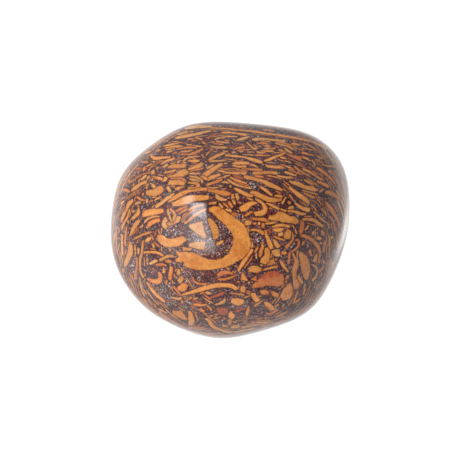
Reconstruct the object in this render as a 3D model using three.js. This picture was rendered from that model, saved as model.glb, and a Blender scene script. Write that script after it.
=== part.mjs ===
// A tumbled pebble of coquina jasper, in millimetres, +Z up, resting on its underside at z = 0.
//
// The stone is one solid. Tumbling wears a broken lump of rock to a body of shallow worn faces that run into
// each other over broad round shoulders, and that is how it is built here: every worn face is a direction and a
// distance from the stone's heart, and all of them together give how far the surface lies in any direction.

import * as THREE from "three";
import { mergeVertices } from "three/addons/utils/BufferGeometryUtils.js";

// How finely each edge of the starting icosahedron is split. The mesh has 20 times the square of one more.
const MESH_DETAIL = 16;

// How sharply one worn face turns into the next. A ball is near 2, and a cut gem is past 40.
const SHOULDER_SHARPNESS = 12;

// The patterned side doesn't look straight up: it faces a person who looks down on the stone at this angle.
const FACE_LIFT_DEG = 55;

// Distance from the stone's heart down to the small flat that it rests on.
const REST_DISTANCE = 13.4;

// The worn faces, set out as that person sees them. clock is the way the face looks round the line of sight,
// from 0 at the right through 90 at the top, and lean is how far it turns towards the person. Both are in
// degrees, and distance is from the stone's heart.
const WORN_FACES = [
  // Round the outline
  { clock: 0, lean: 0, distance: 17.1 },
  { clock: 48, lean: 0, distance: 19.0 },
  { clock: 85, lean: 0, distance: 15.5 },
  { clock: 124, lean: 0, distance: 16.7 },
  { clock: 175, lean: 0, distance: 17.4 },
  { clock: 213, lean: 0, distance: 17.3 },
  { clock: 247, lean: 0, distance: 15.8 },
  { clock: 288, lean: 0, distance: 15.0 },
  { clock: 332, lean: 0, distance: 16.1 },
  // On the patterned side
  { clock: 88, lean: 48, distance: 14.8 },
  { clock: 150, lean: 40, distance: 16.2 },
  { clock: 205, lean: 48, distance: 15.6 },
  { clock: 268, lean: 38, distance: 15.8 },
  { clock: 335, lean: 42, distance: 16.2 },
  { clock: 28, lean: 40, distance: 17.0 },
  { clock: 245, lean: 84, distance: 14.9 },
  // On the far side
  { clock: 90, lean: -36, distance: 16.6 },
  { clock: 40, lean: -38, distance: 17.4 },
  { clock: 140, lean: -38, distance: 17.0 },
  { clock: 215, lean: -36, distance: 16.4 },
  { clock: 325, lean: -36, distance: 16.4 },
  { clock: 90, lean: -78, distance: 15.0 },
  // The underside
  { clock: 270, lean: -FACE_LIFT_DEG, distance: 13.6 },
];

const radians = THREE.MathUtils.degToRad;

// A worn face's outward direction in the stone's own frame: X to the right, Y away from the person, Z up.
function outward({ clock, lean }) {
  const across = Math.cos(radians(clock)) * Math.cos(radians(lean));
  const upward = Math.sin(radians(clock)) * Math.cos(radians(lean));
  const nearer = Math.sin(radians(lean));
  return new THREE.Vector3(across, upward, nearer).applyAxisAngle(
    new THREE.Vector3(1, 0, 0),
    radians(90 - FACE_LIFT_DEG),
  );
}

const faces = WORN_FACES.map((face) => ({
  normal: outward(face),
  distance: face.distance,
}));

// How far the worn surface lies from the stone's heart in a direction. A flat cut through each face alone would
// give the least of the distances, and the power mean of them all rounds every shoulder.
function wornRadius(direction) {
  let sum = 0;
  for (const { normal, distance } of faces) {
    const share = Math.max(0, normal.dot(direction)) / distance;
    sum += share ** SHOULDER_SHARPNESS;
  }
  return sum ** (-1 / SHOULDER_SHARPNESS);
}

// A surface point of the stone. Below the rest plane it is drawn in along its own direction, onto the flat.
function surfacePoint(direction) {
  const point = direction.clone().multiplyScalar(wornRadius(direction));
  if (point.z < -REST_DISTANCE) {
    point.multiplyScalar(-REST_DISTANCE / point.z);
    point.z = -REST_DISTANCE;
  }
  return point;
}

function pebbleGeometry() {
  const ball = new THREE.IcosahedronGeometry(1, MESH_DETAIL);
  ball.deleteAttribute("normal");
  ball.deleteAttribute("uv");
  const geometry = mergeVertices(ball, 1e-5);
  const position = geometry.getAttribute("position");
  const direction = new THREE.Vector3();
  for (let i = 0; i < position.count; i++) {
    direction.fromBufferAttribute(position, i).normalize();
    position.setXYZ(i, ...surfacePoint(direction).toArray());
  }
  // The origin goes to the middle of the footprint, on the surface that the stone rests on.
  geometry.computeBoundingBox();
  const { min, max } = geometry.boundingBox;
  geometry.translate(-(min.x + max.x) / 2, -(min.y + max.y) / 2, -min.z);
  geometry.computeVertexNormals();
  return geometry;
}

const polishedJasper = new THREE.MeshStandardMaterial({
  name: "polished_jasper",
  color: new THREE.Color("#8f5a36"),
  roughness: 0.22,
  metalness: 0,
});

const stone = new THREE.Mesh(pebbleGeometry(), polishedJasper);
stone.name = "stone";

const pebble = new THREE.Group();
pebble.name = "tumbled_coquina_jasper";
pebble.add(stone);

export default pebble;
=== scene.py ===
"""The looks of a tumbled pebble of coquina jasper: a polished stone full of broken shell in dark sand.

The pebble is one smooth mesh. Each broken shell that its polished surface cuts through is a fragment with a
middle line and a width. Every face corner keeps where it lies in the nearest fragments, and the stone's
material draws crisp shells from that, with sand between them.
"""

import math

import bmesh
import bpy
import numpy as np
from mathutils import Matrix, Vector
from mathutils.bvhtree import BVHTree


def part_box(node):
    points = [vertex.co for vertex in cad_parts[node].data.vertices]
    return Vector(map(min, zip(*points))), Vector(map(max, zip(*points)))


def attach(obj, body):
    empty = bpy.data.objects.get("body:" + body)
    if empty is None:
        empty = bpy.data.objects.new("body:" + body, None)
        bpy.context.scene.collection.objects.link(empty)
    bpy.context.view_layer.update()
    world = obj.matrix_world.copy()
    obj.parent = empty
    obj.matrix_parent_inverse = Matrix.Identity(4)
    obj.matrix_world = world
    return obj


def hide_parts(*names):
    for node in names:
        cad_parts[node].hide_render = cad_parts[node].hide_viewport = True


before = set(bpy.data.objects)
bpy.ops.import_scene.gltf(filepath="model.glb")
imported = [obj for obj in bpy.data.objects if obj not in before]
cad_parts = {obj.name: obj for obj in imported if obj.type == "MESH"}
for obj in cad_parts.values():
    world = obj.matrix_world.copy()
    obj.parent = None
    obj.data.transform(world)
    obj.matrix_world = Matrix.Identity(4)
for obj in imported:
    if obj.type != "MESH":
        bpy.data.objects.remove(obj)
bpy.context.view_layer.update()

MM = 0.001

# The picture's frame, in pixels, and the scale at the stone's heart, which shows at HEART_PIXEL. Pixels are
# counted from 0, so the middle of the picture lies half a pixel before its half.
PICTURE_SIDE = 460
PICTURE_MIDDLE = PICTURE_SIDE / 2 - 0.5
HEART_PIXEL = (231.0, 230.0)
PIXELS_PER_MM = 7.0

# The camera looks down on the patterned side at this angle, through a long lens.
FACE_LIFT = math.radians(55)
LENS = 135.0
SENSOR = 36.0

RIGHT = Vector((1, 0, 0))
UPWARD = Vector((0, math.sin(FACE_LIFT), math.cos(FACE_LIFT)))
NEARER = Vector((0, -math.cos(FACE_LIFT), math.sin(FACE_LIFT)))

# The stone's worn faces, as the part's source gives them: the way each looks round the line of sight, how
# far it leans towards the camera, both in degrees, and its distance from the heart in millimetres. The
# underside is worn flat at the rest distance below the heart.
SHOULDER_SHARPNESS = 12
REST_DISTANCE = 13.4
WORN_FACES = [
    # Round the outline
    (0, 0, 17.1),
    (48, 0, 19.0),
    (85, 0, 15.5),
    (124, 0, 16.7),
    (175, 0, 17.4),
    (213, 0, 17.3),
    (247, 0, 15.8),
    (288, 0, 15.0),
    (332, 0, 16.1),
    # On the patterned side
    (88, 48, 14.8),
    (150, 40, 16.2),
    (205, 48, 15.6),
    (268, 38, 15.8),
    (335, 42, 16.2),
    (28, 40, 17.0),
    (245, 84, 14.9),
    # On the far side
    (90, -36, 16.6),
    (40, -38, 17.4),
    (140, -38, 17.0),
    (215, -36, 16.4),
    (325, -36, 16.4),
    (90, -78, 15.0),
    # The underside
    (270, -55, 13.6),
]

# The shells lie flat in beds, and this is the way that the beds face, as the camera sees it.
BED_FACES = Vector((-0.05, -0.25, 1.0)).normalized()

# How many fragments a face can hold, and how far past a fragment's edge it is still told of it, in
# millimetres
LAYERS = 4
EDGE_REACH = 0.32

# A distance that stands for no fragment at all, in millimetres
FAR = 9.0

# The linear colours of what the sand holds: first the shells' tints, then those of large grains.
TINTS = {
    "pale": (0.56, 0.33, 0.14),
    "ochre": (0.51, 0.235, 0.07),
    "amber": (0.52, 0.21, 0.05),
    "honey": (0.52, 0.2, 0.042),
    "orange": (0.5, 0.17, 0.038),
    "rust": (0.43, 0.135, 0.04),
    "red": (0.33, 0.075, 0.032),
    "brown": (0.46, 0.175, 0.05),
    "white": (0.4, 0.37, 0.33),
    "pink": (0.31, 0.18, 0.15),
    "green": (0.15, 0.18, 0.125),
}

# The shells read off the photograph, over the whole of the patterned side. Each is a tint and then the
# points of its middle line: x and y in the picture's pixels, and the shell's width there, in pixels as
# seen.
SHELLS = [
    # Along the top edge
    ("ochre", (184, 128, 1.5), (190, 127, 2.5), (197, 126, 3), (204, 126, 2.5), (211, 125.5, 1.5)),
    ("amber", (198, 127.5, 1), (206, 127, 1.5), (224, 128, 1.5), (240, 129.5, 1.5), (254, 131, 2),
     (266, 133, 2), (278, 134.5, 2), (290, 136.5, 2), (301, 138.5, 2), (309, 140.5, 1.5), (317, 143.5, 2),
     (323, 146.5, 2.5), (326, 149, 2)),
    ("ochre", (174.5, 138, 1.5), (177, 137, 2.5), (186, 135.5, 3), (196, 133.5, 2.5), (206, 131, 2),
     (211, 130.5, 1)),
    ("ochre", (176, 134, 1.5), (180, 133, 2.5), (185, 131.5, 2.5), (188, 131.5, 1.5)),
    ("ochre", (188, 131, 1), (191, 131, 1.5), (193.5, 131, 1)),
    ("amber", (221, 132, 1), (224, 132, 2), (230, 132, 1.5), (240, 133.5, 2), (244, 134, 2.5),
     (246.5, 134, 1.5)),
    ("ochre", (214, 139, 1), (217, 138, 1.5), (221, 137, 1.5), (225, 136, 1.5), (231, 136, 1.5),
     (237, 136, 1)),
    ("ochre", (236, 140, 1.5), (239, 139, 2.5), (243, 138, 3), (246, 137, 2), (249.5, 136, 1)),
    ("red", (206.5, 138, 3), (209, 136, 1.5), (212, 135, 2), (215, 133.5, 2), (217, 132.5, 1)),
    ("ochre", (251.5, 139, 1.5), (254, 139, 3), (263, 138.5, 2.5), (274, 139.5, 2), (279, 140, 2),
     (285, 141, 2)),
    ("ochre", (216, 140.5, 1.5), (220, 141.5, 1.5), (225, 142, 1.5), (229, 142.5, 1)),
    ("amber", (225, 139.5, 1.5), (228, 141, 2.5)),
    ("rust", (213, 143, 1), (218, 143.5, 1.5), (223, 144, 1)),
    ("orange", (257, 143, 1), (262, 142.5, 1.5), (268, 143.5, 1)),
    ("amber", (274.5, 142.5, 1), (278, 143.5, 1.5), (283, 144.5, 1.5), (287, 145.5, 2), (290, 147, 2.5),
     (293.5, 149.5, 1)),
    ("amber", (291, 143, 1), (294, 143.5, 2), (298, 144, 1.5), (299.5, 145, 1)),
    ("orange", (302, 143, 1.5), (305, 143.5, 1.5), (308, 144.5, 1.5), (311, 146, 1.5), (314, 148, 1.5),
     (317, 150, 1)),
    ("amber", (262, 129, 1), (266, 129.5, 1.5), (270, 130, 1.5), (274, 131, 1)),
    ("amber", (194, 137, 1), (197, 137.5, 1.5), (200, 138.5, 1.5), (202, 139, 1)),
    ("rust", (187, 138.5, 1.5), (191, 138.5, 2), (193, 138.5, 1)),
    # Upper left, down to the sloping band
    ("amber", (172, 141, 1), (176, 141, 1.5), (179, 142, 1), (181.5, 142, 1)),
    ("amber", (163, 145.5, 1), (168, 144.5, 2), (173, 143.5, 1.5), (178, 143, 1)),
    ("amber", (164, 147.5, 1), (169, 146.5, 2), (174, 146, 2.5), (178, 146, 2.5), (182, 146, 1.5)),
    ("orange", (176, 149, 1), (180, 148, 2), (186, 147, 2), (192, 147, 2), (197, 147.5, 1)),
    ("amber", (165, 149, 1), (170, 148.5, 2), (174, 147.5, 1.5)),
    ("ochre", (166, 151.5, 1), (169, 151, 2), (172, 150, 1.5)),
    ("ochre", (186, 145.5, 1), (191, 146, 1.5), (196, 145.5, 1.5), (201, 146, 1)),
    ("ochre", (186, 143.5, 1), (188, 144.5, 1.5), (191.5, 144, 1.5)),
    ("ochre", (202, 141, 1), (203, 142.5, 1.5), (205, 143, 1.5)),
    ("ochre", (180, 151.5, 1), (184, 151, 1.5), (188, 150.5, 1.5), (192, 149.5, 1)),
    ("rust", (178, 152.5, 1), (182, 152, 1.5), (187, 152.5, 1.5)),
    ("orange", (180, 154, 1), (185, 154, 1.5), (189, 154, 1.5), (192, 153, 2.5), (196, 151.5, 2.5),
     (200, 149.5, 2), (202.5, 148, 1.5)),
    ("amber", (150.5, 154, 2.5), (152.5, 157, 3), (155.5, 158, 3), (162, 157, 2.5), (167, 157, 2),
     (170, 156.5, 1.5)),
    ("amber", (160.5, 163.5, 1.5), (163.5, 161.5, 2), (167, 160, 2), (171, 159, 2), (174.5, 158, 1.5)),
    ("ochre", (172.5, 156.5, 1.5), (174.5, 158.5, 2)),
    ("ochre", (182.5, 161, 1), (184.5, 159, 2), (187.5, 157, 2), (191, 156.5, 2), (195, 156, 1.5),
     (199, 156, 1)),
    ("ochre", (176.5, 162, 2), (178.5, 161, 2), (180, 160, 1)),
    ("amber", (187.5, 160, 1), (191, 160.5, 2.5), (195, 160.5, 3), (199, 160, 1.5)),
    ("orange", (201, 153.5, 1), (202.5, 156, 1.5), (204.5, 157.5, 1)),
    ("orange", (142, 161.5, 2), (145, 161.5, 3), (147.5, 162, 2.5)),
    ("ochre", (152, 161, 1.5), (154.5, 161.5, 1.5)),
    ("ochre", (155, 150.5, 1.5), (157.5, 150, 2), (160, 149.5, 1.5)),
    ("amber", (144, 153, 1), (147, 152, 1.5), (150, 150.5, 1)),
    ("ochre", (145.5, 166, 1), (148, 165, 1.5), (151, 163.5, 1.5)),
    ("red", (135, 168.5, 3), (139, 168, 3), (141.5, 168, 2)),
    ("orange", (142, 169.5, 1.5), (143.5, 168.5, 4), (146, 167, 2)),
    ("ochre", (150.5, 172.5, 2.5), (152.5, 171.5, 4), (154, 171, 2.5)),
    ("amber", (151, 179.5, 2.5), (152.5, 179, 2.5)),
    ("amber", (152, 176, 1), (155, 177, 2), (158, 177.5, 2.5), (161, 178.5, 2.5), (162, 179.5, 1.5)),
    ("ochre", (157, 166.5, 2), (156.5, 169, 2)),
    ("ochre", (161.5, 166.5, 1), (165, 165.5, 2), (167.5, 163.5, 2)),
    ("amber", (167.5, 167, 1.5), (170, 166, 3), (174, 165.5, 4), (182, 165.5, 4), (185.5, 165.5, 3.5)),
    ("amber", (187.5, 168.5, 2), (191, 168, 2.5), (195, 166.5, 3.5), (199, 165, 4), (202, 162.5, 3)),
    ("rust", (189.5, 166, 1), (192, 165.5, 1.5), (194.5, 164.5, 1)),
    ("rust", (189.5, 170.5, 1.5), (194, 169.5, 2), (199, 168.5, 2), (203, 168, 1)),
    ("ochre", (188.5, 173, 1), (191, 173, 2), (195, 173, 2), (199.5, 173, 1.5)),
    ("amber", (167, 176, 1.5), (172, 175.5, 2.5), (177, 174, 4.5), (181, 172.5, 7), (184, 172, 7),
     (187, 172.5, 4), (189, 173, 1.5)),
    ("amber", (168, 182, 4), (172, 182, 5), (177, 182, 5), (181, 182.5, 4.5), (184, 183.5, 3)),
    ("orange", (170, 178, 1), (176, 178, 1.5), (181, 178, 2), (183.5, 179.5, 2.5), (185.5, 182, 1.5)),
    ("ochre", (163.5, 181, 3), (165, 178.5, 4), (166.5, 177.5, 2)),
    ("ochre", (158, 174, 1), (161, 175, 1.5), (162.5, 175.5, 1)),
    ("amber", (131, 190.5, 2), (133, 188.5, 3.5), (136, 186.5, 4), (139, 184.5, 3), (142, 182.5, 3),
     (145, 181.5, 3.5), (146.5, 181, 2)),
    ("ochre", (132.5, 185, 1.5), (134, 183.5, 1.5)),
    ("orange", (128, 182.5, 1), (131, 181, 1.5), (134, 179, 1.5), (137, 176.5, 1.5), (140, 175, 1.5),
     (144, 173, 1), (149, 172.5, 1)),
    ("ochre", (140.5, 179.5, 1.5), (142.5, 177.5, 2.5), (145, 175.5, 2.5), (146, 174.5, 1)),
    ("ochre", (146.5, 178.5, 1.5), (148, 176.5, 2), (149, 175, 1.5)),
    ("ochre", (138, 182, 1), (138.5, 180, 1.5), (140, 178, 1)),
    ("ochre", (146, 188.5, 1), (146.5, 186, 1.5), (148, 183, 1)),
    ("amber", (145.5, 192, 4.5), (149, 192, 6), (153.5, 192, 6.5), (157, 190.5, 8), (160, 189, 7),
     (162.5, 187, 4)),
    ("ochre", (151, 183, 1.5), (152.5, 185, 4), (154.5, 187, 3)),
    ("ochre", (166.5, 186, 2), (168, 188, 3), (169.5, 190.5, 2.5), (170, 192.5, 1)),
    ("amber", (174.5, 188.5, 2.5), (177, 188, 3.5), (180, 187, 2.5), (184, 186.5, 1)),
    ("orange", (170.5, 186, 1.5), (174.5, 186, 1.5)),
    ("ochre", (155, 206.5, 2.5), (158, 204.5, 3.5), (161, 202.5, 3.5), (164, 200, 3.5), (167, 197.5, 3.5),
     (170, 195.5, 3.5), (172.5, 193.5, 2), (174, 193, 1)),
    ("amber", (168, 201.5, 1.5), (172, 198.5, 3), (176, 196, 4.5), (180, 194, 4.5), (184, 192, 4),
     (188, 190.5, 2.5), (193, 190, 2.5), (198, 189, 3), (203, 188.5, 3), (207, 189, 2.5)),
    ("orange", (207, 189.5, 2.5), (213, 190.5, 3), (218, 191.5, 4.5), (223, 192.5, 5), (227, 193, 4),
     (230, 193.5, 2)),
    ("amber", (171.5, 204, 3), (175, 203.5, 5), (179, 202, 6.5), (183, 200.5, 7), (187, 199, 7.5),
     (191, 198, 6.5), (196, 197.5, 5.5), (205, 197, 5), (208.5, 197, 3.5)),
    ("orange", (188, 209.5, 2), (194, 206.5, 2.5), (199, 205, 2.5), (203, 204.5, 2)),
    ("rust", (181, 219.5, 1.5), (186, 215, 2), (191, 211, 2), (196, 208.5, 1.5)),
    ("orange", (178, 213.5, 1.5), (183, 210.5, 2), (187, 208.5, 1.5)),
    ("ochre", (153.5, 200.5, 1), (156, 198.5, 2), (158.5, 197.5, 2), (161, 196, 1.5)),
    ("ochre", (152, 197, 1), (154, 196.5, 1.5), (155.5, 196.5, 1)),
    ("amber", (187.5, 182, 2), (192, 182.5, 2), (196.5, 183, 3), (198, 185.5, 3), (196, 187.5, 3),
     (191.5, 188, 2.5), (187.5, 187.5, 2.5)),
    ("ochre", (189, 178.5, 2), (192, 179, 2.5), (196, 180, 2.5), (199, 180.5, 1.5)),
    ("ochre", (189, 175.5, 1), (191.5, 176, 1.5), (195, 176.5, 2), (199, 178, 2), (201.5, 180.5, 2),
     (202, 182.5, 1.5)),
    ("rust", (190, 186, 1.5), (193.5, 185, 1.5)),
    ("amber", (201, 175.5, 2.5), (204, 177.5, 3), (206.5, 179, 2)),
    ("orange", (136, 196.5, 1.5), (138.5, 198, 2.5), (141.5, 199.5, 2.5), (143.5, 199.5, 1.5)),
    ("ochre", (134, 203.5, 1.5), (137, 202.5, 3), (140.5, 202, 2)),
    ("ochre", (146, 198.5, 2), (146.5, 201, 3), (147, 202.5, 1.5)),
    ("orange", (142.5, 192.5, 2), (142.5, 195, 2)),
    ("ochre", (137, 206, 1.5), (138.5, 206, 1.5)),
    # Upper middle, the strips that meet in an arch over the valve
    ("amber", (202, 175.5, 3), (206, 173.5, 5), (210, 170.5, 4.5), (214, 168, 4), (218, 165.5, 3.5),
     (222, 163.5, 3)),
    ("ochre", (206, 167.5, 2.5), (210, 166, 2.5), (213, 164, 2)),
    ("amber", (206, 179, 3), (211, 177, 3.5), (216, 175, 3), (220, 174, 2)),
    ("orange", (206, 184.5, 2.5), (212, 182.5, 2.5), (218, 180.5, 2), (222, 179, 1.5)),
    ("ochre", (216, 178.5, 1), (222, 177, 1.5), (226, 175.5, 1.5), (229.5, 175, 1)),
    ("amber", (217, 170, 1), (221, 170.5, 2), (226, 172, 2), (231, 172.5, 2), (236, 172.5, 2.5),
     (241, 173, 2.5), (246, 172.5, 2)),
    ("rust", (237, 171, 1.5), (241, 170.5, 2.5), (247, 170.5, 1.5)),
    ("amber", (232, 165, 1.5), (237, 166, 2), (242, 166, 2), (246, 166, 2)),
    ("orange", (241, 168, 1), (247, 168.5, 1.5), (253, 169, 2), (258, 169, 2.5), (262, 169.5, 2)),
    ("red", (232.5, 175.5, 1.5), (236, 176, 3.5), (240, 177.5, 3), (243, 178, 1.5)),
    ("amber", (243.5, 176, 3), (247, 177, 3.5), (251, 177.5, 3.5), (256, 179, 3), (262, 180.5, 3.5),
     (268, 183.5, 4.5), (273, 185.5, 4), (278, 188, 3.5), (282, 190, 1.5)),
    ("amber", (229.5, 176.5, 1.5), (233, 178.5, 2), (238, 180.5, 2.5), (243, 182, 2), (246, 183, 1.5)),
    ("orange", (233, 180.5, 1), (238, 182.5, 1.5), (243, 184, 2), (248, 185, 1.5)),
    ("ochre", (227, 178.5, 1.5), (230, 181, 2), (234, 183, 2.5), (239, 184.5, 3), (244, 186, 3),
     (249, 187, 3), (253, 187.5, 1.5)),
    ("amber", (234, 187.5, 2), (237, 189.5, 3), (241, 191.5, 3.5), (245, 193.5, 3.5), (249, 195, 3),
     (252.5, 195.5, 2)),
    ("ochre", (221, 182, 1), (225, 181.5, 2), (229, 182.5, 1.5)),
    ("ochre", (230, 184.5, 1.5), (230, 187, 1.5)),
    ("ochre", (206, 187, 1.5), (212, 187.5, 1.5), (216, 187, 1.5), (218, 187, 1)),
    ("ochre", (215.5, 193, 1.5), (216.5, 196, 3.5), (219, 198, 4), (223, 199, 2.5), (226.5, 199, 1.5)),
    ("amber", (208.5, 203, 2), (212, 202.5, 2.5), (216, 202, 2.5)),
    ("ochre", (218.5, 203, 1.5), (220.5, 205, 2), (222, 207.5, 2)),
    ("orange", (222.5, 202.5, 1.5), (225, 204.5, 2), (228, 207, 2)),
    ("orange", (228, 201.5, 2.5), (230, 204, 3), (232, 207, 2.5)),
    ("ochre", (232, 199.5, 2), (233.5, 201.5, 3), (234.5, 204, 1.5)),
    ("orange", (232.5, 193.5, 2), (232, 196, 3), (233, 198.5, 4)),
    ("ochre", (236, 193, 2), (236.5, 196, 3.5), (238, 199, 3.5)),
    ("amber", (239.5, 209, 4), (242.5, 208, 6.5), (246, 206, 6.5), (249.5, 203.5, 5), (253, 202.5, 3),
     (256.5, 203, 1.5)),
    # Above them
    ("ochre", (211, 146, 1.5), (214, 146.5, 2), (219, 147, 2), (224, 147, 2), (227, 147, 1)),
    ("ochre", (213, 151, 1), (216, 151, 1)),
    ("ochre", (222.5, 150, 1), (225, 151, 1.5), (227.5, 150.5, 1)),
    ("rust", (209, 149.5, 2), (213, 148.5, 2.5)),
    ("amber", (207.5, 159.5, 1), (210, 158.5, 2.5), (214, 156.5, 3), (218, 154.5, 3), (222, 153, 2.5),
     (225, 152.5, 1.5)),
    ("orange", (205.5, 155, 1), (207.5, 152.5, 1.5), (210, 150, 1.5)),
    ("amber", (224.5, 155, 1.5), (228, 155, 2), (233, 155.5, 2), (238, 156, 2), (243, 156.5, 1.5),
     (247, 157.5, 2), (250, 158.5, 3), (254, 159.5, 3.5), (258, 161, 3.5), (262, 162, 2)),
    ("orange", (233, 149, 1), (236, 148, 1.5), (240, 147, 2), (244, 146.5, 2)),
    ("amber", (232, 152, 2), (235, 151.5, 1.5)),
    ("ochre", (239, 151, 1), (243, 151, 1)),
    ("ochre", (246, 141.5, 1), (248, 143.5, 1.5), (251, 146.5, 1.5), (254, 148, 2), (257.5, 147, 1.5)),
    ("orange", (253, 144, 1), (255.5, 146, 1.5)),
    ("ochre", (208.5, 161.5, 1), (212, 160.5, 2), (217, 160.5, 1.5), (222, 160, 1.5), (226, 159.5, 1)),
    ("amber", (231.5, 164, 1.5), (235, 162.5, 3), (240, 162.5, 3), (245, 162.5, 3), (249, 163, 2)),
    ("amber", (249, 163.5, 1.5), (254, 165, 2), (257.5, 167, 1.5)),
    ("amber", (264, 145, 1.5), (267, 145.5, 2.5), (270, 146, 1.5)),
    ("ochre", (263.5, 148, 1), (267, 148, 1.5), (271, 148, 1.5), (275, 148, 1.5)),
    ("amber", (260, 150.5, 1), (264, 150.5, 1.5), (270, 150.5, 2), (273, 150.5, 1.5)),
    ("ochre", (256, 151, 1), (259, 152, 2), (263, 152, 1.5), (265, 152, 1)),
    ("orange", (254, 155, 1), (259, 154.5, 1.5), (264, 155, 1.5), (270, 155, 1)),
    ("amber", (263.5, 160.5, 1.5), (267, 159.5, 2.5), (271, 158, 3), (274, 156.5, 2.5), (277, 155.5, 2),
     (281, 154, 2), (284, 152.5, 1.5), (284.5, 150.5, 1)),
    ("amber", (278, 149.5, 1), (281, 150, 2), (284, 151, 1.5)),
    ("ochre", (284, 147.5, 1.5), (287, 150, 2), (290, 152, 2), (292, 153, 1)),
    ("amber", (252, 172.5, 2.5), (258, 172.5, 3), (264, 172, 3), (270, 172, 3), (275, 172.5, 3),
     (278, 173.5, 1.5)),
    ("amber", (265, 165, 2), (270, 166, 3), (276, 166.5, 3), (283, 166.5, 3)),
    ("orange", (254, 175.5, 2), (259, 176, 2), (263, 176.5, 1)),
    ("ochre", (276, 175, 1.5), (281, 176, 2), (285, 177, 2), (289, 177, 2), (293, 177, 1.5)),
    ("red", (274.5, 145.5, 1), (277, 146.5, 2), (279, 147.5, 1)),
    # Upper right
    ("rust", (286, 153, 1), (290, 155, 2), (294, 156.5, 3), (298, 157.5, 4), (301, 158.5, 4)),
    ("amber", (279.5, 156.5, 1), (283, 157.5, 2), (286, 158, 1)),
    ("ochre", (284, 160.5, 1), (288, 161, 1.5), (291, 162.5, 1)),
    ("amber", (284, 171.5, 2), (288, 172.5, 2), (292, 174, 2), (296, 175, 1.5)),
    ("orange", (288, 169, 1.5), (292, 170.5, 2), (297, 172.5, 1.5), (301, 174, 1.5)),
    ("ochre", (301, 148.5, 1.5), (305, 148, 1), (309, 149, 1), (312, 149.5, 1)),
    ("orange", (301, 152, 2), (305, 153, 2), (309, 154, 1.5), (313, 155, 1.5)),
    ("amber", (301, 156, 2), (305, 157.5, 2), (308, 159, 1.5), (310, 160.5, 1)),
    ("amber", (311, 159, 1), (312.5, 161, 1.5), (314, 163, 1.5), (314.5, 166, 1)),
    ("ochre", (317, 156, 1.5), (319.5, 157, 1.5), (322, 158, 1)),
    ("rust", (315, 159, 2), (319, 161, 2), (323, 162.5, 1.5)),
    ("orange", (316, 167.5, 2.5), (318, 168.5, 3), (320.5, 169.5, 2.5), (323, 171.5, 2.5),
     (326, 174, 2.5), (329, 177, 2), (332, 180, 2), (334.5, 183.5, 1)),
    ("amber", (321, 163.5, 1.5), (325, 165, 1.5), (328, 165.5, 1.5), (332, 166, 1.5), (335, 166.5, 1)),
    ("amber", (302, 168.5, 2.5), (305, 169.5, 2), (309, 171.5, 2), (313, 174, 2), (317, 176.5, 2),
     (320, 178.5, 2), (322, 179.5, 1)),
    ("rust", (310, 170.5, 1), (314, 172, 2), (317, 174, 1.5)),
    ("amber", (303.5, 179.5, 2), (307, 181, 2.5), (310, 182.5, 2.5), (313, 184, 1.5)),
    ("amber", (289, 180.5, 1.5), (292, 182, 3), (296, 183, 4), (300, 184.5, 4), (304, 186.5, 4),
     (308, 187.5, 4), (312, 188, 5), (315, 189, 3), (317.5, 189.5, 1.5)),
    ("orange", (316.5, 181, 2), (320, 182, 2.5), (324, 184, 3), (327, 185.5, 3), (328.5, 187, 2)),
    ("ochre", (319, 191.5, 2), (321, 190, 2.5), (323, 188.5, 2)),
    ("orange", (324.5, 191.5, 3), (328, 192, 4), (331, 193, 4.5), (334, 194.5, 3.5), (337, 197, 3),
     (340, 199.5, 2)),
    ("ochre", (302, 190, 1), (306, 191, 1.5), (310, 192, 1.5), (314, 193, 1.5), (317, 194, 1)),
    ("orange", (303, 192.5, 1.5), (307, 194, 2), (311, 196, 2.5), (314.5, 197.5, 2)),
    ("amber", (289, 186, 2), (291.5, 189, 3), (295, 192, 4), (299, 195, 4.5), (303, 197.5, 4.5),
     (306.5, 200.5, 4), (309, 202.5, 2)),
    ("rust", (311, 199.5, 1), (315, 201.5, 1), (318, 204.5, 1), (320, 207, 1)),
    ("rust", (324.5, 201, 1.5), (327, 204, 2.5), (330, 208, 4), (333, 212, 4), (335.5, 216.5, 3),
     (338, 222, 2.5), (339.5, 228, 2)),
    # The big valve's curve in the middle, and the shells inside it
    ("honey", (208.5, 209, 2.5), (215.5, 210, 9), (222.5, 215.5, 10.5), (231, 222.5, 12),
     (237.5, 229, 15), (240.5, 236.5, 16), (241, 244.5, 18), (237.5, 251.5, 16), (231.5, 257.5, 11.5),
     (223.5, 262, 10), (214.5, 264, 9.5), (206.5, 264, 11), (199.5, 262.5, 14), (192, 260.5, 16),
     (185.5, 258.5, 14), (181, 257, 11.5), (179.5, 259, 6), (175, 260, 2.5)),
    ("amber", (208, 218, 2), (210.5, 221.5, 5.5), (213.5, 227, 7), (215, 232, 6.5), (215, 236, 5.5),
     (214, 238.5, 3)),
    ("ochre", (188.5, 225.6, 2.5), (203.5, 228.2, 17.5)),
    ("ochre", (188.5, 244.5, 4), (192, 244.5, 5), (198, 245, 7.5), (204.5, 245.5, 8)),
    ("amber", (157, 237, 5), (161, 239, 8.5), (166, 242, 8.5), (171, 242.5, 8.5), (177, 241.5, 8.5),
     (182, 239, 6.5), (186, 240, 1.5)),
    ("ochre", (167, 208.5, 2), (168, 213, 2), (169.5, 217, 2), (171, 221, 2)),
    ("ochre", (169, 208.5, 2), (172, 210.5, 2.5), (174, 214, 2.5), (173.5, 218, 2.5), (172, 221, 2)),
    ("ochre", (167, 224, 3), (173, 222, 4), (177, 219, 5), (179, 216, 3)),
    ("ochre", (181, 221, 3), (184, 216, 4), (186, 213, 2)),
    ("orange", (184, 223, 2), (190, 218.5, 2.5), (196, 213.5, 2.5), (201, 210.5, 2.5), (205.5, 209, 2)),
    ("ochre", (165.5, 217, 2), (164.5, 221, 5), (164.5, 225, 6.5), (164, 228, 4)),
    ("rust", (175, 211, 2), (181, 208, 2.5), (187, 205.5, 2)),
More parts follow.
